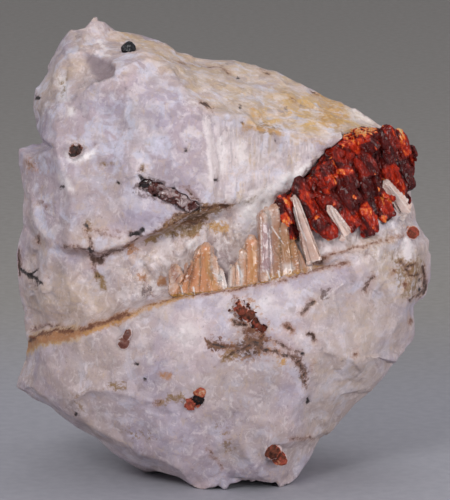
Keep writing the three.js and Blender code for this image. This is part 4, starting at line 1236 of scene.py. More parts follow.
@dataclass
class Rock:
    """The block of rock: its broken relief, ledges and cracks, and the fields that its finish reads."""

    node: str = "matrix"
    slot: str = "rock"
    sides: SideLimit = SideLimit(0.52, 2.2, -4.0, 10.0)
    facets: Crackle = Crackle(5, 6.0, 0.025, 0.04)
    chips: Crackle = Crackle(6, 2.2, 0.03, 0.03)
    laths: Crackle = Crackle(7, 1.3, 0.12, 0.16, (1.0, 1.0, 0.22))
    vein_chips: Crackle = Crackle(8, 1.5, 0.2, 0.1, (1.0, 1.0, 0.65))
    crack_depth: float = 0.14
    dent_depth: float = 0.9
    gap: float = 0.95
    calm: float = 0.35
    behind: float = 1.0

    @property
    def face(self) -> Face:
        """The face of the block, on which marks and plates are placed."""
        return Face.of(Sheet.of_node(self.node).points)

    def build(self) -> Object:
        """Makes the rock.

        Returns:
            The piece.
        """
        sheet = Sheet.of_node(self.node).split(self.sides).relaxed(2, 0.5)
        marks = Markings(self.face, PATCHES, STROKES)
        for line in SOFT_FOLDS:
            fold = distance_to_line(Face.flatten(sheet.points), self.face.line(line))
            sheet = sheet.relaxed(60, 0.5 * smooth(3.4, 1.6, fold) * smooth(0.0, -1.0, sheet.points[:, 1]))
        hollow = self.undercut(sheet.points)
        sheet.points[:, 2] += hollow
        flat = marks.wavered(sheet.points)
        normals = sheet.normals()
        seen = smooth(-0.05, 0.25, normals @ TOWARDS_VIEWER)
        fields = marks.fields(flat, seen)
        # Painted shade: where the foot is lifted off the floor, the underside that faces away from the front
        # is drawn as a black line, standing in for the shade inside the gap.
        fields["black_line"] = np.minimum(fields["black_line"], 0.35 - hollow * (1.0 - seen))
        fields["glassy"] = seen * marks.zone(flat, VEIN_ZONE, 0.8)
        fields["lath"] = seen * marks.zone(flat, LATH_ZONE, 1.2)
        height = self.relief(sheet.points, marks, flat, seen)
        height -= self.crack_depth * smooth(0.2, -0.1, np.minimum(fields["brown_line"], fields["black_line"]))
        height -= self.dent_depth * seen * self.dent(flat, marks)
        sheet.points += normals * height[:, None]
        sheet.points[:, 2] = np.maximum(sheet.points[:, 2], 0.0)
        piece = make_object("rock", sheet, fields, RockFinish().material(), rounded=True)
        seat(piece, self.node)
        return piece

    def undercut(self, points: Array) -> Array:
        """How far the front of the foot is lifted off the floor at each point, in millimetres."""
        along = smooth(0.2, 1.2, points[:, 0]) * smooth(8.2, 7.4, points[:, 0])
        along += 0.5 * smooth(-3.0, -1.8, points[:, 0]) * smooth(0.3, -0.6, points[:, 0])
        ragged = 1.0 + 0.5 * LatticeNoise(10).layers(points, 1.6, 3)
        return self.gap * along * ragged * smooth(2.4, 0.2, points[:, 2]) * smooth(0.0, -5.0, points[:, 1])

    def relief(self, points: Array, marks: Markings, flat: Array, seen: Array) -> Array:
        """Height of the broken relief at each point.

        Args:
            points: Points of the mesh.
            marks: The rock's marks, which know its face.
            flat: Flat place of each point.
            seen: How much each point faces the front.

        Returns:
            Heights in millimetres.
        """
        laths = seen * marks.zone(flat, LATH_ZONE, 1.2)
        vein = seen * marks.zone(flat, VEIN_ZONE, 0.8)
        calm = seen * np.max([marks.zone(flat, zone, 2.5) for zone in CALM_ZONES], axis=0)
        plain = (1.0 - laths) * (1.0 - vein) * (1.0 - (1.0 - self.calm) * calm)
        behind = self.behind * smooth(-6.0, 2.0, points[:, 1]) * smooth(0.5, 5.0, points[:, 2])
        broken = self.facets.height(points) + self.chips.height(points)
        height = (1.0 + behind * (1.0 - seen)) * plain * broken
        height += laths * self.laths.height(points) + vein * self.vein_chips.height(points)
        ridges = LatticeNoise(9)
        height += plain * 0.02 * (0.35 - np.abs(ridges.layers(points, 3.0, 4)))
        height += 0.02 * ridges.layers(points, 0.8, 2)
        for ledge in LEDGES:
            height += seen * self.step(flat, marks.face.line(ledge.line), ledge)
        return height

    @staticmethod
    def dent(flat: Array, marks: Markings) -> Array:
        """Depth, from 0 to 1, of the three-sided hollow near the summit, deepest along its lower side."""
        inside = marks.zone(flat, DENT_ZONE, 0.35)
        away = distance_to_line(flat, marks.face.line(DENT_FOOT))
        return inside * smooth(3.4, 0.3, away)

    @staticmethod
    def step(flat: Array, line: Array, ledge: Ledge) -> Array:
        """Height that a ledge adds.

        Args:
            flat: Flat place of each point.
            line: The ledge's line in millimetres.
            ledge: The ledge.

        Returns:
            Heights in millimetres.
        """
        distance = distance_to_line(flat, line)
        along = line[-1] - line[0]
        aside = flat - line[0]
        turn = along[0] * aside[:, 1] - along[1] * aside[:, 0]
        middle = line[len(line) // 2] - line[0]
        bulge = along[0] * middle[1] - along[1] * middle[0]
        in_lens = inside_outline(flat, line) if abs(bulge) > 1.0 else np.zeros(len(flat), bool)
        left = (turn > 0.0) ^ in_lens
        signed = np.where(left, distance, -distance)
        return ledge.rise * smooth(-0.12, 0.12, signed) * smooth(ledge.fade, 0.0, distance)


# ---- The crystals ----


def outer_spots(
    sheet: Sheet, spacing: float, chance: np.random.Generator, towards: Array
) -> tuple[Array, Array]:
    """Picks spots spread over the side of a mesh that faces one way.

    Args:
        sheet: The mesh.
        spacing: Least distance between two spots, in millimetres.
        chance: Source of chance.
        towards: Direction that the side faces.

    Returns:
        The spots and the outward normals there.
    """
    fine = sheet.split(SideLimit.even(spacing / 2.0))
    corners = fine.points[fine.triangles]
    across = np.cross(corners[:, 1] - corners[:, 0], corners[:, 2] - corners[:, 0])
    across /= np.maximum(np.linalg.norm(across, axis=1, keepdims=True), 1e-9)
    middles = corners.mean(axis=1)
    wanted = np.flatnonzero(across @ towards > -0.1)
    kept: list[int] = []
    for index in chance.permutation(wanted):
        if not kept or np.linalg.norm(middles[kept] - middles[index], axis=1).min() > spacing:
            kept.append(index)
    return middles[kept], across[kept]


def chunk(at: Array, axes: Array, half: Array, chance: np.random.Generator, bluntness: float) -> Sheet:
    """Makes a block with flat faces and uneven corners.

    Args:
        at: Its middle.
        axes: Its three directions, one to a row.
        half: Half its size along each.
        chance: Source of chance.
        bluntness: How far its corners are drawn in.

    Returns:
        The block's mesh.
    """
    corners = []
    for signs in np.ndindex(2, 2, 2):
        sign = np.array(signs) * 2.0 - 1.0
        for axis in range(3):
            pulled = sign.copy()
            pulled[axis] *= 1.0 - bluntness * chance.uniform(0.2, 1.0)
            corners.append(pulled * chance.uniform(0.86, 1.0, 3))
    return hull(np.array(corners) * half @ axes + at)


def prism(foot: Array, tip: Array, facing: Array, width: float, depth: float, taper: float) -> Sheet:
    """Makes a flattened six-sided prism that ends in a chisel edge.

    Args:
        foot: Middle of its foot.
        tip: Middle of its chisel edge.
        facing: Direction of its broad face.
        width: Width of the broad face.
        depth: Thickness.
        taper: Width near the tip over the width at the foot.

    Returns:
        The prism's mesh.
    """
    long, across, out = frame_of(tip - foot, facing)
    shoulder = foot + 0.86 * (tip - foot)
    rim = [(0.5, 0.0), (0.38, 0.5), (-0.38, 0.5), (-0.5, 0.0), (-0.38, -0.5), (0.38, -0.5)]
    corners = [foot + a * width * across + b * depth * out for a, b in rim]
    corners += [shoulder + taper * a * width * across + 0.7 * b * depth * out for a, b in rim]
    corners += [tip + share * taper * width * across for share in (-0.28, 0.1)]
    return hull(np.array(corners))


def hull(points: Array) -> Sheet:
    """Wraps points in the tightest shell of flat faces.

    Args:
        points: Places, three numbers to a row.

    Returns:
        The shell's mesh.
    """
    shell = bmesh.new()
    for point in points:
        shell.verts.new(point)
    result = bmesh.ops.convex_hull(shell, input=shell.verts)
    unused = result["geom_interior"] + result["geom_unused"]
    spare = [item for item in unused if isinstance(item, bmesh.types.BMVert)]
    bmesh.ops.delete(shell, geom=list(set(spare)), context="VERTS")
    bmesh.ops.recalc_face_normals(shell, faces=shell.faces)
    shell.verts.index_update()
    corners = np.array([vertex.co for vertex in shell.verts])
    triangles = np.array([[vertex.index for vertex in side.verts] for side in shell.faces], np.int64)
    shell.free()
    return Sheet(corners, triangles)


@dataclass
class Heap:
    """Many closed meshes gathered into one, each with its own tone."""

    sheets: list[Sheet] = field(default_factory=list)
    tones: list[Array] = field(default_factory=list)

    def put(self, sheet: Sheet, tone: float | Array) -> None:
        """Adds a mesh with its tone, one number or one per point."""
        self.sheets.append(sheet)
        self.tones.append(np.broadcast_to(np.asarray(tone, float), (len(sheet.points),)))

    def gathered(self) -> tuple[Sheet, Array]:
        """Joins the meshes.

        Returns:
            One mesh, and the tone of each of its points.
        """
        starts = np.cumsum([0] + [len(sheet.points) for sheet in self.sheets[:-1]])
        triangles = [sheet.triangles + start for sheet, start in zip(self.sheets, starts)]
        points = np.vstack([sheet.points for sheet in self.sheets])
        return Sheet(points, np.vstack(triangles)), np.concatenate(self.tones)


def frame_of(long: Array, facing: Array) -> Array:
    """Three directions at right angles: along a crystal, across it, and out of its broad face.

    Args:
        long: Direction of the crystal's length.
        facing: Rough direction of its broad face.

    Returns:
        The three directions, one to a row.
    """
    first = long / np.linalg.norm(long)
    third = facing - (facing @ first) * first
    third /= np.linalg.norm(third)
    return np.stack([first, np.cross(third, first), third])


@dataclass(frozen=True)
class GlassFinish:
    """A clear or half-clear crystal whose tone runs over several colours."""

    name: str
    colours: tuple[tuple[float, Colour], ...]
    clearness: float
    bend: float
    rough: float
    grain: float = 1.0
    tip: float = 0.12
    wander: float = 0.16
    glow: float = 0.0
    shine: float = 0.5
    stretch: Point3 = (1.0, 1.0, 1.0)

    def material(self) -> Material:
        """Makes the crystal's material.

        Returns:
            The material.
        """
        wires = Wires(self.name)
        place = wires.place(self.stretch)
        wander = wires.noise(place, self.grain, 4.0, 0.65, 0.4)
        wander = wires.ramp(wander, 0.25, 0.75, -self.wander, self.wander)
        ramp = wires.add("ValToRGB", {0: wires.math("ADD", wires.field("tone"), wander)})
        ends = ramp.color_ramp.elements
        for end in (0, -1):
            ends[end].position = self.colours[end][0]
            ends[end].color = (*self.colours[end][1], 1.0)
        for position, colour in self.colours[1:-1]:
            ends.new(position).color = (*colour, 1.0)
        rough = wires.noise(place, 3.0 * self.grain, 2.0)
        rough = wires.ramp(rough, 0.3, 0.7, 0.5 * self.rough, 1.5 * self.rough)
        tipped = wires.tilted(wires.cells(place, 1.4 * self.grain), self.tip)
        normal = wires.bump(wires.noise(place, 2.0 * self.grain, 4.0), 0.35, 0.12, tipped)
        return wires.surface(
            {
                "Base Color": ramp.outputs[0],
                "Roughness": rough,
                "Normal": normal,
                "IOR": self.bend,
                "Specular IOR Level": self.shine,
                "Transmission Weight": self.clearness,
                "Subsurface Weight": self.glow,
                "Subsurface Radius": (1.0, 0.7, 0.6),
                "Subsurface Scale": 0.001,
            }
        )


ZINCITE = GlassFinish(
    "zincite",
    (
        (0.0, (0.040, 0.006, 0.006)),
        (0.3, (0.10, 0.008, 0.006)),
        (0.55, (0.23, 0.013, 0.006)),
        (0.7, (0.42, 0.022, 0.007)),
        (0.8, (0.60, 0.055, 0.012)),
        (0.88, (0.80, 0.22, 0.035)),
        (1.0, (0.58, 0.36, 0.16)),
    ),
    0.05, 1.55, 0.1, 2.2, 0.5, 0.14, 0.05, 0.2, (1.0, 1.0, 0.5),
)
FRANKLINITE = GlassFinish(
    "franklinite",
    ((0.0, (0.004, 0.004, 0.006)), (0.6, (0.008, 0.008, 0.011)), (1.0, (0.03, 0.03, 0.036))),
    0.0, 2.0, 0.5, 1.4, 0.05, 0.16, 0.0, 0.12,
)
GARNET = GlassFinish(
    "garnet",
    (
        (0.0, (0.014, 0.008, 0.008)),
        (0.3, (0.075, 0.018, 0.015)),
        (0.6, (0.16, 0.055, 0.047)),
        (1.0, (0.48, 0.37, 0.37)),
    ),
    0.1, 1.75, 0.18, 1.6, 0.1, 0.14, 0.0, 0.3,
)
BROWN_GRAIN = GlassFinish(
    "brown_grain",
    (
        (0.0, (0.03, 0.018, 0.015)),
        (0.4, (0.14, 0.040, 0.026)),
        (0.75, (0.26, 0.13, 0.09)),
        (1.0, (0.56, 0.45, 0.45)),
    ),
    0.05, 1.7, 0.4, 2.0, 0.14, 0.16, 0.0, 0.25,
)
RUST_GRAIN = GlassFinish(
    "rust_grain",
    (
        (0.0, (0.012, 0.010, 0.011)),
        (0.4, (0.135, 0.042, 0.026)),
        (0.65, (0.33, 0.065, 0.045)),
        (0.8, (0.42, 0.18, 0.09)),
        (1.0, (0.54, 0.42, 0.42)),
    ),
    0.0, 1.5, 0.8, 2.0, 0.2, 0.2, 0.0, 0.08,
)


@dataclass(frozen=True)
class Plate:
    """A large slanting face of the red mass: its middle on the face, in percent, half size in mm and tone."""

    at: Point2
    half: Point2
    tone: float
    steep: float = 1.7

    def share(self, flat: Array, face: Face) -> Array:
        """How far each flat point lies on this face of the mass, from 0 to 1."""
        long = np.array([1.0, -self.steep]) / math.hypot(1.0, self.steep)
        aside = flat - face.line((self.at,))[0]
        along, across = aside @ long, aside @ np.array([-long[1], long[0]])
        return smooth(1.15, 0.9, np.maximum(np.abs(along) / self.half[0], np.abs(across) / self.half[1]))


PLATES = each(
    Plate,
    ((90.6, 65.2), (2.6, 1.05), 0.74), ((93.0, 67.1), (4.0, 0.75), 0.05), ((94.6, 69.4), (2.8, 0.45), 0.82),
    ((96.1, 65.6), (2.9, 0.8), 0.22), ((87.4, 70.9), (2.4, 1.5), 0.12), ((90.5, 72.5), (2.6, 0.6), 0.5),
    ((84.5, 57.2), (1.6, 0.7), 0.7), ((88.2, 60.2), (1.8, 0.7), 0.7), ((86.4, 62.5), (1.6, 0.35), 0.7),
    ((83.3, 60.0), (1.9, 0.5), 0.86, 6.0), ((78.8, 66.0), (1.4, 0.4), 0.92, 0.3),
    ((75.4, 65.2), (1.0, 0.3), 0.9, -0.4), ((77.1, 69.8), (1.7, 0.8), 0.62, 0.5),
    ((80.0, 71.6), (1.5, 0.7), 0.7, 0.4), ((82.6, 72.6), (1.2, 0.4), 0.8, -0.3),
    ((80.7, 62.4), (2.2, 1.4), 0.18), ((78.3, 60.3), (2.0, 1.3), 0.25), ((84.3, 64.6), (2.4, 1.5), 0.1),
    ((82.3, 67.0), (1.4, 0.8), 0.55), ((71.0, 62.4), (1.5, 0.8), 0.55), ((69.8, 60.3), (1.8, 0.5), 0.72),
    ((73.4, 58.2), (1.8, 1.0), 0.5), ((75.4, 53.6), (1.0, 0.9), 0.62), ((64.7, 56.5), (0.9, 0.5), 0.95),
    ((66.2, 59.3), (1.2, 0.6), 0.74), ((68.1, 53.0), (2.0, 0.6), 0.1, 3.0), ((79.5, 56.8), (1.4, 0.7), 0.62),
    ((82.0, 55.7), (1.3, 0.6), 0.7),
)


@dataclass
class ZinciteMass:
    """The red mass: one body with a rough surface of small steep columns, and large slanting faces on it."""

    face: Face
    node: str = "zincite_mass"
    slot: str = "zincite"
    side: float = 0.2
    lean: float = -0.5
    columns: Crackle = Crackle(43, 1.4, 0.18, 0.08, (1.0, 1.0, 0.22))
    crumbs: Crackle = Crackle(44, 0.4, 0.18, 0.02, (1.0, 1.0, 0.45))
    grow: float = 0.3
    squeeze: float = 0.5
    rounds: int = 24
    coat: float = 50.0

    def build(self) -> Object:
        """Makes the mass.

        Returns:
            The piece.
        """
        sides = SideLimit(self.side, 3.0 * self.side, -9.0, -4.0)
        body = Sheet.of_node(self.node).split(sides).relaxed(self.rounds, 0.5)
        normals = body.normals()
        turned = body.points @ self.turn()
        columns, tone = self.columns.height_and_tone(turned)
        crumbs, spark = self.crumbs.height_and_tone(turned)
        grow = self.grow * smooth(-0.2, 0.6, normals @ TOWARDS_VIEWER)
        flat = Face.flatten(body.points)
        streaks = LatticeNoise(45).layers(turned * [1.0, 1.0, 0.22], 0.6, 3)
        broad = 0.4 + 0.6 * LatticeNoise(42).layers(turned * [1.0, 1.0, 0.4], 2.2, 3) + 0.6 * streaks
        # Painted glints: cells whose spark number is high are made brighter and more orange.
        tone = broad + 0.14 * tone + np.where(spark > 0.9, 0.25, 0.08 * spark)
        for plate in PLATES:
            share = 0.8 * plate.share(flat, self.face)
            tone += share * (plate.tone + 0.12 * spark - tone)
        # Painted glints: the cells with the highest spark number get a pale orange tone.
        tone = np.where(spark > 0.95, 0.86, np.minimum(tone, 0.8))
        high = smooth(self.coat - 1.2, self.coat + 0.6, body.points[:, 2])
        coat = high * smooth(0.5, 0.95, normals[:, 2] + 1.8 * streaks + 0.2 * spark)
        tone += coat * (0.95 - tone)
        body.points += normals * (grow + columns + crumbs)[:, None]
        body.points[:, 0] -= self.squeeze * smooth(24.0, 29.0, body.points[:, 0])
        piece = make_object("zincite", body, {"tone": tone}, ZINCITE.material())
        seat(piece, self.node)
        return piece

    def turn(self) -> Array:
        """The turn that lays the lean of the columns along the upright axis."""
        cosine, sine = math.cos(self.lean), math.sin(self.lean)
        return np.array([[cosine, 0.0, sine], [0.0, 1.0, 0.0], [-sine, 0.0, cosine]])


@dataclass(frozen=True)
class Blade:
    """A crystal of a spray: foot and tip in percent of the node's width and height, and its width in mm."""

    foot: Point2
    tip: Point2
    width: float
    forward: float = 0.0
    taper: float = 0.8


LEFT_BLADES = each(
    Blade,
    ((38, 2), (58, 84), 2.6, 0.05, 0.25), ((54, 2), (62, 97), 2.8, 0.3, 0.28),
    ((68, 4), (66, 88), 2.4, 0.15, 0.4), ((86, 5), (70, 50), 2.0, 0.1, 0.4),
    ((14, 12), (8, 60), 1.3, 0.1, 0.5), ((30, 20), (28, 66), 1.5, 0.35, 0.5),
)
CENTRE_BLADES = each(
    Blade,
    ((6, 2), (2, 48), 1.0, 0.1, 0.6), ((28, 2), (30, 52), 1.2, 0.3, 0.6), ((46, 3), (50, 66), 1.2, 0.1, 0.6),
    ((62, 4), (62, 94), 1.5, 0.2, 0.7), ((88, 5), (86, 100), 1.5, 0.05, 0.7),
)
RIGHT_BLADES = each(
    Blade,
    ((2, 2), (6, 84), 1.3, 0.1, 0.7), ((18, 3), (15, 100), 2.3, 0.45, 0.55),
    ((40, 4), (26, 95), 2.3, 0.1, 0.5), ((60, 5), (40, 84), 2.2, 0.3, 0.5),
    ((78, 7), (56, 70), 2.0, 0.05, 0.5), ((96, 9), (76, 56), 1.8, 0.2, 0.5),
    ((112, 12), (92, 44), 1.6, 0.0, 0.5), ((12, 0), (10, 30), 0.8, 0.8, 0.6),
    ((30, 0), (30, 34), 0.8, 0.7, 0.6),
)
FIRST_CROSSING = (Blade((80, 4), (10, 97), 1.5, 0.1, 0.3),)
SECOND_CROSSING = (Blade((80, 4), (12, 96), 0.8, 0.1, 0.5),)
THIRD_CROSSING = (Blade((84, 5), (12, 96), 1.4, 0.1, 0.35),)


SPRAY_PATCHES = marked(Patch, {
    Mark.LILAC: (
        ((59.2, 55.5, 61, 55.6, 62, 48, 61, 45.6, 58.8, 46), 0.4, 0.95),
    ),
    Mark.WHITE: (
        ((70.4, 47.6, 74.6, 48.4, 75.4, 45, 70, 44.6), 0.5, 0.7),
        ((47.8, 45, 52, 46.6, 55, 46, 54.6, 42.4, 49.6, 41.8), 0.5, 0.6),
        ((63.8, 47.2, 66.4, 47.4, 66.8, 45.8, 64.4, 45.6), 0.4, 0.6),
    ),
    Mark.TAN: (
        ((62.2, 57, 66.4, 55, 69.4, 49, 69, 46, 62.6, 45.6, 61.8, 49), 0.8, 0.85),
        ((70, 52.6, 73.4, 52.2, 75, 46, 68, 46), 0.8, 0.4),
    ),
    Mark.OCHRE: (
        ((45.8, 50, 46.8, 50, 46.8, 46, 49.6, 42, 47.6, 42, 45.8, 46), 0.4, 0.6),
        ((63, 53, 66, 54, 68, 50, 67, 47.6, 63.6, 48.4), 0.8, 0.35),
        ((56.6, 51, 57.8, 51, 58, 43, 56, 43), 0.3, 0.6),
        ((60, 44.8, 64, 45.4, 70, 46.6, 69, 44.8, 62, 43.2), 0.4, 0.8),
    ),
    Mark.ORANGE: (
        ((38, 40.6, 41, 45.1, 43, 48, 45.2, 51, 47, 50.8, 47, 47, 48.4, 44, 50.4, 41, 45.7, 40), 0.35),
        ((55.4, 52, 57.6, 52.4, 58.2, 47.3, 58, 43, 54.8, 42.6, 55.2, 48), 0.3, 0.95),
        ((52, 46.4, 53.8, 46.8, 53.8, 43, 52.2, 42.6), 0.3, 0.7),
    ),
    Mark.BROWN: (
        ((37.4, 46.8, 38.6, 46.9, 39.8, 45, 39.4, 43.2, 38.4, 43.6), 0.4, 0.9),
        ((40.6, 46.8, 42.6, 47.4, 43.6, 45.6, 42.8, 43.4, 41, 43.8), 0.6, 0.7),
        ((66.8, 57.5, 68.8, 57, 69.8, 51, 68, 50.4, 67, 54), 0.5, 0.5),
    ),
})
SPRAY_STROKES = marked(Stroke, {
    # Painted highlights: thin white lines along the edges of the prisms.
    Mark.WHITE: (
        ((59, 56.6, 59.1, 50, 59.4, 45.8), 0.07), ((61.4, 54.9, 64.2, 51.3), 0.05),
        ((60.2, 46, 61.4, 43.4), 0.06), ((47.6, 45.4, 49.4, 44.6, 51.2, 42.2), 0.07),
        ((50.6, 46, 50.8, 42.2), 0.06), ((53.4, 46.8, 54.6, 44.6), 0.12), ((40, 42.8, 40.6, 41), 0.08),
        ((43, 42.6, 43.4, 40.8), 0.06), ((63, 45.8, 63.4, 44.4), 0.08), ((66, 60, 67.6, 56, 69.6, 52), 0.06),
    ),
    Mark.OCHRE: (
        ((38, 40.6, 47, 41.2, 55, 42.4, 63, 43.8, 68, 45.2), 0.24),
    ),
})


@dataclass(frozen=True)
class SprayFinish(Shades):
    """Clear gerstmannite: pale and pinkish, orange or brown where it is thick, with white lines painted along
    its edges as highlights.
    """

    name: str
    ground: Colour
    clearness: float = 0.15
    orange: Colour = (0.66, 0.29, 0.135)
    brown: Colour = (0.30, 0.11, 0.06)
    ochre: Colour = (0.50, 0.25, 0.07)
    tan: Colour = (0.40, 0.19, 0.095)
    lilac: Colour = (0.44, 0.28, 0.29)
    white: Colour = (0.88, 0.78, 0.75)

    def material(self) -> Material:
        """Makes the crystals' material.

        Returns:
            The material.
        """
        wires = Wires(self.name)
        height = wires.times(wires.part(wires.here, 2), 0.08)
        across = wires.add("CombineXYZ", {0: wires.field("fibre"), 1: height}).outputs[0]
        fibres = wires.noise(across, 2.4, 4.0, 0.65)
        cloud = wires.noise(wires.here, 0.8, 3.0, 0.55, 0.6)
        broken = wires.ramp(cloud, 0.25, 0.55, 0.7, 1.0)
        wander = wires.times(wires.math("SUBTRACT", cloud, 0.5), 0.3)
        wires.colour = self.ground
        wires.lay(wires.times(wires.ramp(cloud, 0.44, 0.64), 0.35), self.white)
        for mark in (Mark.TAN, Mark.LILAC, Mark.WHITE, Mark.ORANGE, Mark.OCHRE, Mark.BROWN):
            wires.lay(wires.times(wires.field(mark.patch), broken), self.shade(mark))
        # The white lines are painted highlights along the edges of the prisms.
        for mark in (Mark.OCHRE, Mark.WHITE):
            away = wires.math("ADD", wires.field(mark.line), wander)
            wires.lay(wires.ramp(away, 0.1, -0.05), self.shade(mark))
        wires.lay(wires.times(wires.ramp(fibres, 0.56, 0.7), 0.25), self.white)
        wires.lay(wires.times(wires.ramp(fibres, 0.46, 0.3), 0.2), self.orange)
        wires.lay(wires.ramp(wires.field("tone"), 0.2, 1.0, 0.0, 0.12), self.white)
        # Painted glints: small white cells laid into the colour.
        sparks = wires.part(wires.cells(wires.warped(wires.here, 1.5, 0.6), 4.5), 0)
        wires.lay(wires.times(wires.ramp(sparks, 0.88, 0.96), 0.35), self.white)
        normal = wires.tilted(wires.cells(wires.here, 1.2), 0.25)
        return wires.surface(
            {
                "Base Color": wires.colour,
                "Roughness": wires.ramp(cloud, 0.3, 0.7, 0.1, 0.26),
                "Normal": wires.bump(fibres, 0.4, 0.06, normal),
                "IOR": 1.67,
                "Transmission Weight": self.clearness,
                "Specular IOR Level": 0.4,
                "Subsurface Weight": 0.6,
                "Subsurface Radius": (1.0, 0.95, 0.9),
                "Subsurface Scale": 0.0007,
            }
        )


@dataclass
class GerstmanniteSpray:
    """Flattened prisms that stand on the floor of the vein, sunk in a clear core of the same crystal."""

    face: Face
    name: str
    slot: str
    ground: Colour
    blades: tuple[Blade, ...]
    seed: int
    apex: Point2
    crumbs: int = 14
    thickness: float = 0.44
    grow: float = 0.3
    side: float = 0.2
    clearness: float = 0.15

    @property
    def node(self) -> str:
        """Name of the node that the spray stands for."""
        return "gerstmannite_" + self.name

    def build(self) -> Object:
        """Makes the spray.

        Returns:
            The piece.
        """
        chance = np.random.default_rng(self.seed)
        core = Sheet.of_node(self.node)
        low, high = core.points.min(axis=0), core.points.max(axis=0)
        body = core.split(SideLimit.even(self.side)).relaxed(1, 0.5)
        normals = body.normals()
        forward = smooth(-0.4, 0.6, normals @ TOWARDS_VIEWER)
        body.points += normals * (0.15 + self.grow * forward + self.fibres(body))[:, None]
        heap = Heap()
        heap.put(body, 0.0)
        for blade in self.blades:
            ends = (blade.foot, blade.tip)
            foot, tip = (self.on_front(core, low, high, end, blade.forward) for end in ends)
            facing = np.array([chance.normal(scale=0.4), -1.0, chance.normal(scale=0.1)])
            made = prism(foot, tip, facing, blade.width, min(self.thickness, blade.width), blade.taper)
            heap.put(made, chance.uniform(-1.0, 1.0))
        for _ in range(self.crumbs):
            share = (104.0 * chance.uniform() - 2.0, 16.0 * chance.uniform() - 8.0)
            axes = frame_of(chance.normal(size=3), TOWARDS_VIEWER + chance.normal(scale=0.4, size=3))
            spot = self.on_front(core, low, high, share, 0.2)
            heap.put(chunk(spot, axes, chance.uniform(0.2, 0.5, 3), chance, 0.5), chance.uniform(-1.0, 1.0))
        gathered, tone = heap.gathered()
        sheet = Sheet(np.column_stack([gathered.points, tone]), gathered.triangles)
        sheet = sheet.split(SideLimit.even(0.4))
        sheet, tone = Sheet(sheet.points[:, :3], sheet.triangles), sheet.points[:, 3]
        marks = Markings(self.face, SPRAY_PATCHES, SPRAY_STROKES)
        fields = marks.fields(Face.flatten(sheet.points), np.ones(len(sheet.points)))
        fields["tone"] = tone
        fields["fibre"] = self.fan(sheet.points)
        finish = SprayFinish(self.name, self.ground, self.clearness)
        piece = make_object(self.name, sheet, fields, finish.material())
        seat(piece, self.node)
        return piece

    def fan(self, points: Array) -> Array:
        """Angle round the point where the fibres of the spray meet, times its distance, in millimetres."""
        aside = Face.flatten(points) - self.face.line((self.apex,))[0]
        return np.arctan2(aside[:, 0], -aside[:, 1]) * float(np.median(np.linalg.norm(aside, axis=1)))

    def fibres(self, body: Sheet) -> Array:
        """Height of the long narrow ribs of the crystals, in millimetres, at each point of a mesh."""
        across = self.fan(body.points)
        ribs = np.stack([across, np.zeros_like(across), 0.12 * body.points[:, 2]], axis=1)
        return Crackle(self.seed, 0.8, 0.12, 0.04).height(ribs)

    @staticmethod
    def on_front(core: Sheet, low: Array, high: Array, share: Point2, forward: float) -> Array:
        """Finds a place on the front of the node.

        Args:
            core: The node's mesh.
            low: Lowest corner of its box.
            high: Highest corner of its box.
            share: Percent of its width and of its height.
            forward: How far in front of the node the place lies, in millimetres.

        Returns:
            The place.
        """
        x = low[0] + share[0] / 100.0 * (high[0] - low[0])
        z = low[2] + share[1] / 100.0 * (high[2] - low[2])
        near = np.exp(-(((core.points[:, [0, 2]] - [x, z]) ** 2).sum(axis=1)) / 2.0) + 1e-9
        front = core.points[:, 1] < np.average(core.points[:, 1], weights=near)
        y = np.average(core.points[front, 1], weights=near[front])
        return np.array([x, y + 0.1 - 0.6 * forward, z])


GARNET_SPOTS = (
    ((4, 88), 0.0), ((10, 58), 0.85), ((24, 70), 0.3), ((30, 50), 0.12), ((43, 47), 0.42),
    ((54, 34), 0.28), ((63, 34), 0.5), ((72, 20), 0.3), ((80, 18), 0.95), ((88, 12), 0.35),
    ((90, 6), 0.95), ((97, 2), 0.3), ((17, 44), 0.95), ((37, 64), 0.9), ((50, 54), 0.95),
    ((57, 20), 0.9), ((71, 36), 0.9), ((85, 28), 0.95),
)
PAIRED_SPOTS = (((80, 92), 0.7), ((66, 50), 0.02), ((20, 14), 0.6))
FOOT_SPOTS = (((30, 70), 0.3), ((60, 50), 0.4), ((80, 14), 0.6))


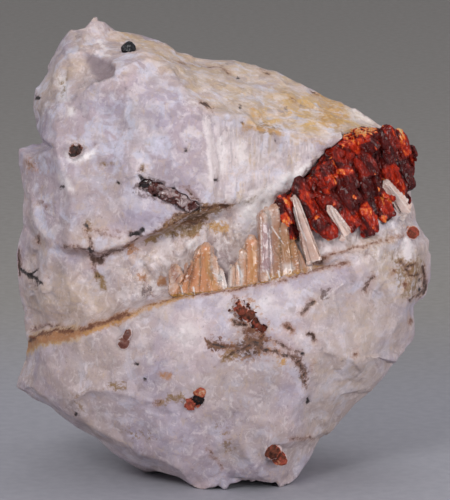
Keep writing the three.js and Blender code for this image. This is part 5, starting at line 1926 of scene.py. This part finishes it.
@dataclass
class Grains:
    """Mineral grains sunk in the rock: the node's lumps with facets, crumbs and a pale crust round them."""

    name: str
    node: str
    slot: str
    finish: GlassFinish
    seed: int
    tone: float
    spread: float
    knob: float = 0.16
    facet: float = 0.7
    rough: float = 0.3
    grow: float = 0.05
    close: float = 0.35
    crust: float = 0.5
    scatter: float = 0.0
    spots: tuple[tuple[Point2, float], ...] = ()

    def tone_at(self, points: Array, core: Sheet) -> Array:
        """Tone of the grain that each point belongs to.

        Args:
            points: Places, three numbers to a row.
            core: The node's mesh, in whose box the spots are placed.

        Returns:
            One tone per place.
        """
        if not self.spots:
            return np.full(len(points), self.tone)
        low, size = core.points.min(axis=0), np.ptp(core.points, axis=0)
        middles = np.array([at for at, _ in self.spots]) / 100.0 * size[[0, 2]] + low[[0, 2]]
        away = np.linalg.norm(points[:, None, [0, 2]] - middles[None], axis=2)
        return np.array([tone for _, tone in self.spots])[away.argmin(axis=1)]

    def body(self, core: Sheet) -> tuple[Sheet, Array]:
        """Breaks the node's lumps into facets and closes the gap round them.

        Args:
            core: The node's mesh.

        Returns:
            The mesh and the tone of each of its points.
        """
        noise = LatticeNoise(self.seed)
        sheet = core.split(SideLimit.even(0.2)).relaxed(3, 0.4)
        normals = sheet.normals()
        facing = normals @ TOWARDS_VIEWER
        facets = Crackle(self.seed, self.facet, self.rough, 0.25 * self.rough)
        height, cell = facets.height_and_tone(sheet.points)
        height += 0.1 * noise.layers(sheet.points, 0.9, 2)
        bends = 0.5 * np.stack([noise.layers(sheet.points + 20.0 * k, 1.0, 2) for k in range(1, 4)], axis=1)
        tone = self.tone_at(sheet.points + bends, core) + self.spread * cell
        ragged = facing + 0.6 * noise.layers(sheet.points + 50.0, 1.0, 3)
        rim = smooth(self.crust + 0.12, self.crust - 0.12, ragged)
        sheet.points += normals * (self.grow + height)[:, None]
        sheet.points += self.close * (normals - facing[:, None] * TOWARDS_VIEWER)
        return sheet, tone + rim * (1.1 - tone)

    def build(self) -> Object:
        """Makes the grains.

        Returns:
            The piece.
        """
        chance = np.random.default_rng(self.seed)
        core = Sheet.of_node(self.node)
        heap = Heap()
        heap.put(*self.body(core))
        spots, outward = outer_spots(core, 1.8 * self.knob, chance, TOWARDS_VIEWER)
        plane = outward.mean(axis=0) / np.linalg.norm(outward.mean(axis=0))
        for spot in spots:
            tone = self.tone_at(spot[None], core)[0] + self.spread * chance.normal()
            aside = chance.normal(scale=self.scatter + 0.05, size=3)
            spot = spot + aside - (aside @ plane) * plane - 0.1 * plane
            axes = frame_of(chance.normal(size=3), plane + chance.normal(scale=0.4, size=3))
            half = self.knob * chance.lognormal(0.0, 0.35) * np.array([1.3, 0.9, 0.6])
            if chance.uniform() < 0.6:
                heap.put(chunk(spot, axes, half, chance, 0.7), min(max(tone, 0.0), 0.8))
        sheet, tone = heap.gathered()
        piece = make_object(self.name, sheet, {"tone": tone}, self.finish.material())
        seat(piece, self.node)
        return piece


@dataclass
class FrankliniteCrystal:
    """The black crystal: its faces keep their edges and carry low steps."""

    node: str = "franklinite_crystal"
    slot: str = "franklinite"

    def build(self) -> Object:
        """Makes the crystal.

        Returns:
            The piece.
        """
        noise = LatticeNoise(61)
        body = Sheet.of_node(self.node).split(SideLimit.even(0.25)).relaxed(2, 0.4)
        steps = np.round(3.0 * noise.layers(body.points, 1.2, 2)) / 3.0
        body.points += body.normals() * (0.1 * steps)[:, None]
        fields = {"tone": 0.4 + noise.layers(body.points, 0.8, 2)}
        piece = make_object("franklinite", body, fields, FRANKLINITE.material())
        seat(piece, self.node)
        return piece


# ---- The studio ----


@dataclass(frozen=True)
class Lamp:
    """A soft square lamp: its place and its side in millimetres, and its power in watts."""

    name: str
    at: Point3
    side: float
    power: float

    def hang(self, aim: Point3) -> None:
        """Hangs the lamp so that it looks at a place."""
        light = bpy.data.lights.new(self.name, "AREA")
        light.size = self.side * MM
        light.energy = self.power
        lamp = linked(self.name, light)
        lamp.location = Vector(self.at) * MM
        lamp.rotation_euler = (Vector(aim) - Vector(self.at)).to_track_quat("-Z", "Y").to_euler()


@dataclass(frozen=True)
class Studio:
    """A pale floor that runs up into a backdrop, soft lamps, and the camera; lengths are in millimetres."""

    floor_colour: Colour = (0.355, 0.352, 0.395)
    wall_colour: Colour = (0.322, 0.304, 0.284)
    sky_colour: Colour = (0.62, 0.62, 0.65)
    sky_strength: float = 0.72
    half_width: float = 900.0
    front_edge: float = -900.0
    bend_from: float = 1300.0
    bend: float = 120.0
    wall_height: float = 900.0
    lamps: tuple[Lamp, ...] = (
        Lamp("key_lamp", (-150.0, -390.0, 280.0), 130.0, 0.87),
        Lamp("fill_lamp", (250.0, -340.0, 100.0), 150.0, 0.64),
        Lamp("top_lamp", (60.0, 60.0, 360.0), 160.0, 0.2),
    )
    aim: Point3 = (0.3, 0.0, 32.05)
    distance: float = 600.0
    lens: float = 298.0
    sight_end: float = 10000.0

    def build(self) -> None:
        """Sets up the floor, the lamps, the light from all round and the camera."""
        self.backdrop()
        for lamp in self.lamps:
            lamp.hang(self.aim)
        world = bpy.data.worlds.new("studio")
        world.use_nodes = True
        light = world.node_tree.nodes["Background"].inputs
        light[0].default_value = (*self.sky_colour, 1.0)
        light[1].default_value = self.sky_strength
        bpy.context.scene.world = world
        bpy.context.scene.view_settings.view_transform = "Standard"
        self.camera()

    def backdrop(self) -> None:
        """Makes the floor with its bend up into the backdrop."""
        bend, turns = self.bend, np.linspace(0.1, math.pi / 2, 16)
        profile = [(self.front_edge, 0.0), (self.bend_from, 0.0)]
        profile += [(self.bend_from + bend * math.sin(a), bend * (1.0 - math.cos(a))) for a in turns]
        profile += [(self.bend_from + bend, self.wall_height)]
        corners = [(x * MM, y * MM, z * MM) for x in (-self.half_width, self.half_width) for y, z in profile]
        count = len(profile)
        sides = [(k, count + k, count + k + 1, k + 1) for k in range(count - 1)]
        mesh = bpy.data.meshes.new("backdrop")
        mesh.from_pydata(corners, [], sides)
        mesh.polygons.foreach_set("use_smooth", [True] * len(sides))
        mesh.materials.append(self.paper())
        sheet = linked("backdrop", mesh)

    def paper(self) -> Material:
        """Makes the backdrop's material, a little darker and warmer away from the specimen.

        Returns:
            The material.
        """
        wires = Wires("backdrop_paper")
        wires.colour = self.floor_colour
        wires.lay(wires.ramp(wires.part(wires.here, 1), 30.0, 140.0), self.wall_colour)
        wires.lay(wires.ramp(wires.noise(wires.here, 0.6, 4.0), 0.3, 0.7, 0.0, 0.06), (1.0, 1.0, 1.0))
        return wires.surface({"Base Color": wires.colour, "Roughness": 0.55})

    def camera(self) -> None:
        """Sets the camera, a little above the specimen and far away."""
        view = bpy.data.cameras.new("camera")
        view.lens = self.lens
        view.clip_end = self.sight_end * MM
        camera = linked("camera", view)
        aim = Vector(self.aim) * MM
        camera.location = aim + Vector(TOWARDS_VIEWER) * self.distance * MM
        camera.rotation_euler = (aim - camera.location).to_track_quat("-Z", "Y").to_euler()
        bpy.context.scene.camera = camera


# ---- All together ----


AMBER: Colour = (0.62, 0.38, 0.27)
RUSSET: Colour = (0.50, 0.27, 0.18)
BLUSH: Colour = (0.80, 0.57, 0.49)
GRAINS = (
    Grains(
        "garnets", "garnet_cluster", "garnet", GARNET, 71, 0.3, 0.16,
        rough=0.34, crust=0.2, spots=GARNET_SPOTS,
    ),
    Grains("dark_pit_grain", "pit_grain", "brown_grain", BROWN_GRAIN, 72, 0.0, 0.1, crust=0.6),
    Grains(
        "brown_teardrop", "teardrop_grain", "brown_grain", BROWN_GRAIN, 73, 0.36, 0.03,
        knob=0.06, facet=4.0, rough=0.03,
    ),
    Grains(
        "rusty_grains", "rust_grains", "rust_grain", RUST_GRAIN, 74, 0.36, 0.12,
        knob=0.15, grow=-0.1, scatter=0.3,
    ),
    Grains(
        "grain_pair", "paired_grain", "rust_grain", RUST_GRAIN, 75, 0.5, 0.06, crust=0.1, spots=PAIRED_SPOTS
    ),
    Grains(
        "rusty_foot_grain", "foot_grain", "rust_grain", RUST_GRAIN, 76, 0.42, 0.1,
        crust=0.35, scatter=0.1, spots=FOOT_SPOTS,
    ),
    Grains(
        "red_end_grain", "end_grain", "rust_grain", RUST_GRAIN, 77, 0.5, 0.08, knob=0.1, facet=1.5, rough=0.15
    ),
)


def sprays(face: Face) -> list[GerstmanniteSpray]:
    """Lists the three sprays and the three thin blades that cross the red mass.

    Args:
        face: The face of the block, on which their marks are placed.

    Returns:
        The six, ready to be built.
    """
    orange, pale = "gerstmannite_orange", "gerstmannite_pale"
    thin = {"grow": -0.5, "crumbs": 4, "clearness": 0.06}
    rows = (
        ("spray_left", orange, AMBER, LEFT_BLADES, 51, (46.4, 54), {"grow": 0.5}),
        ("spray_centre", orange, AMBER, CENTRE_BLADES, 52, (54, 90), {}),
        ("spray_right", pale, RUSSET, RIGHT_BLADES, 53, (56, 90), {}),
        ("blade_1", pale, BLUSH, FIRST_CROSSING, 54, (56, 90), thin),
        ("blade_2", pale, BLUSH, SECOND_CROSSING, 55, (56, 90), thin),
        ("blade_3", pale, BLUSH, THIRD_CROSSING, 56, (56, 90), thin),
    )
    return [GerstmanniteSpray(face, *row, **options) for *row, options in rows]


def main() -> None:
    """Builds the specimen piece by piece, then the studio round it."""
    logging.basicConfig(level=logging.INFO, format="%(name)s: %(message)s")
    rock = Rock()
    parts = (rock, ZinciteMass(rock.face), *sprays(rock.face), FrankliniteCrystal(), *GRAINS)
    pieces = [part.build() for part in parts]
    Studio().build()
    LOG.info("%d pieces, %d faces", len(pieces), sum(len(piece.data.polygons) for piece in pieces))


if __name__ == "__main__":
    main()
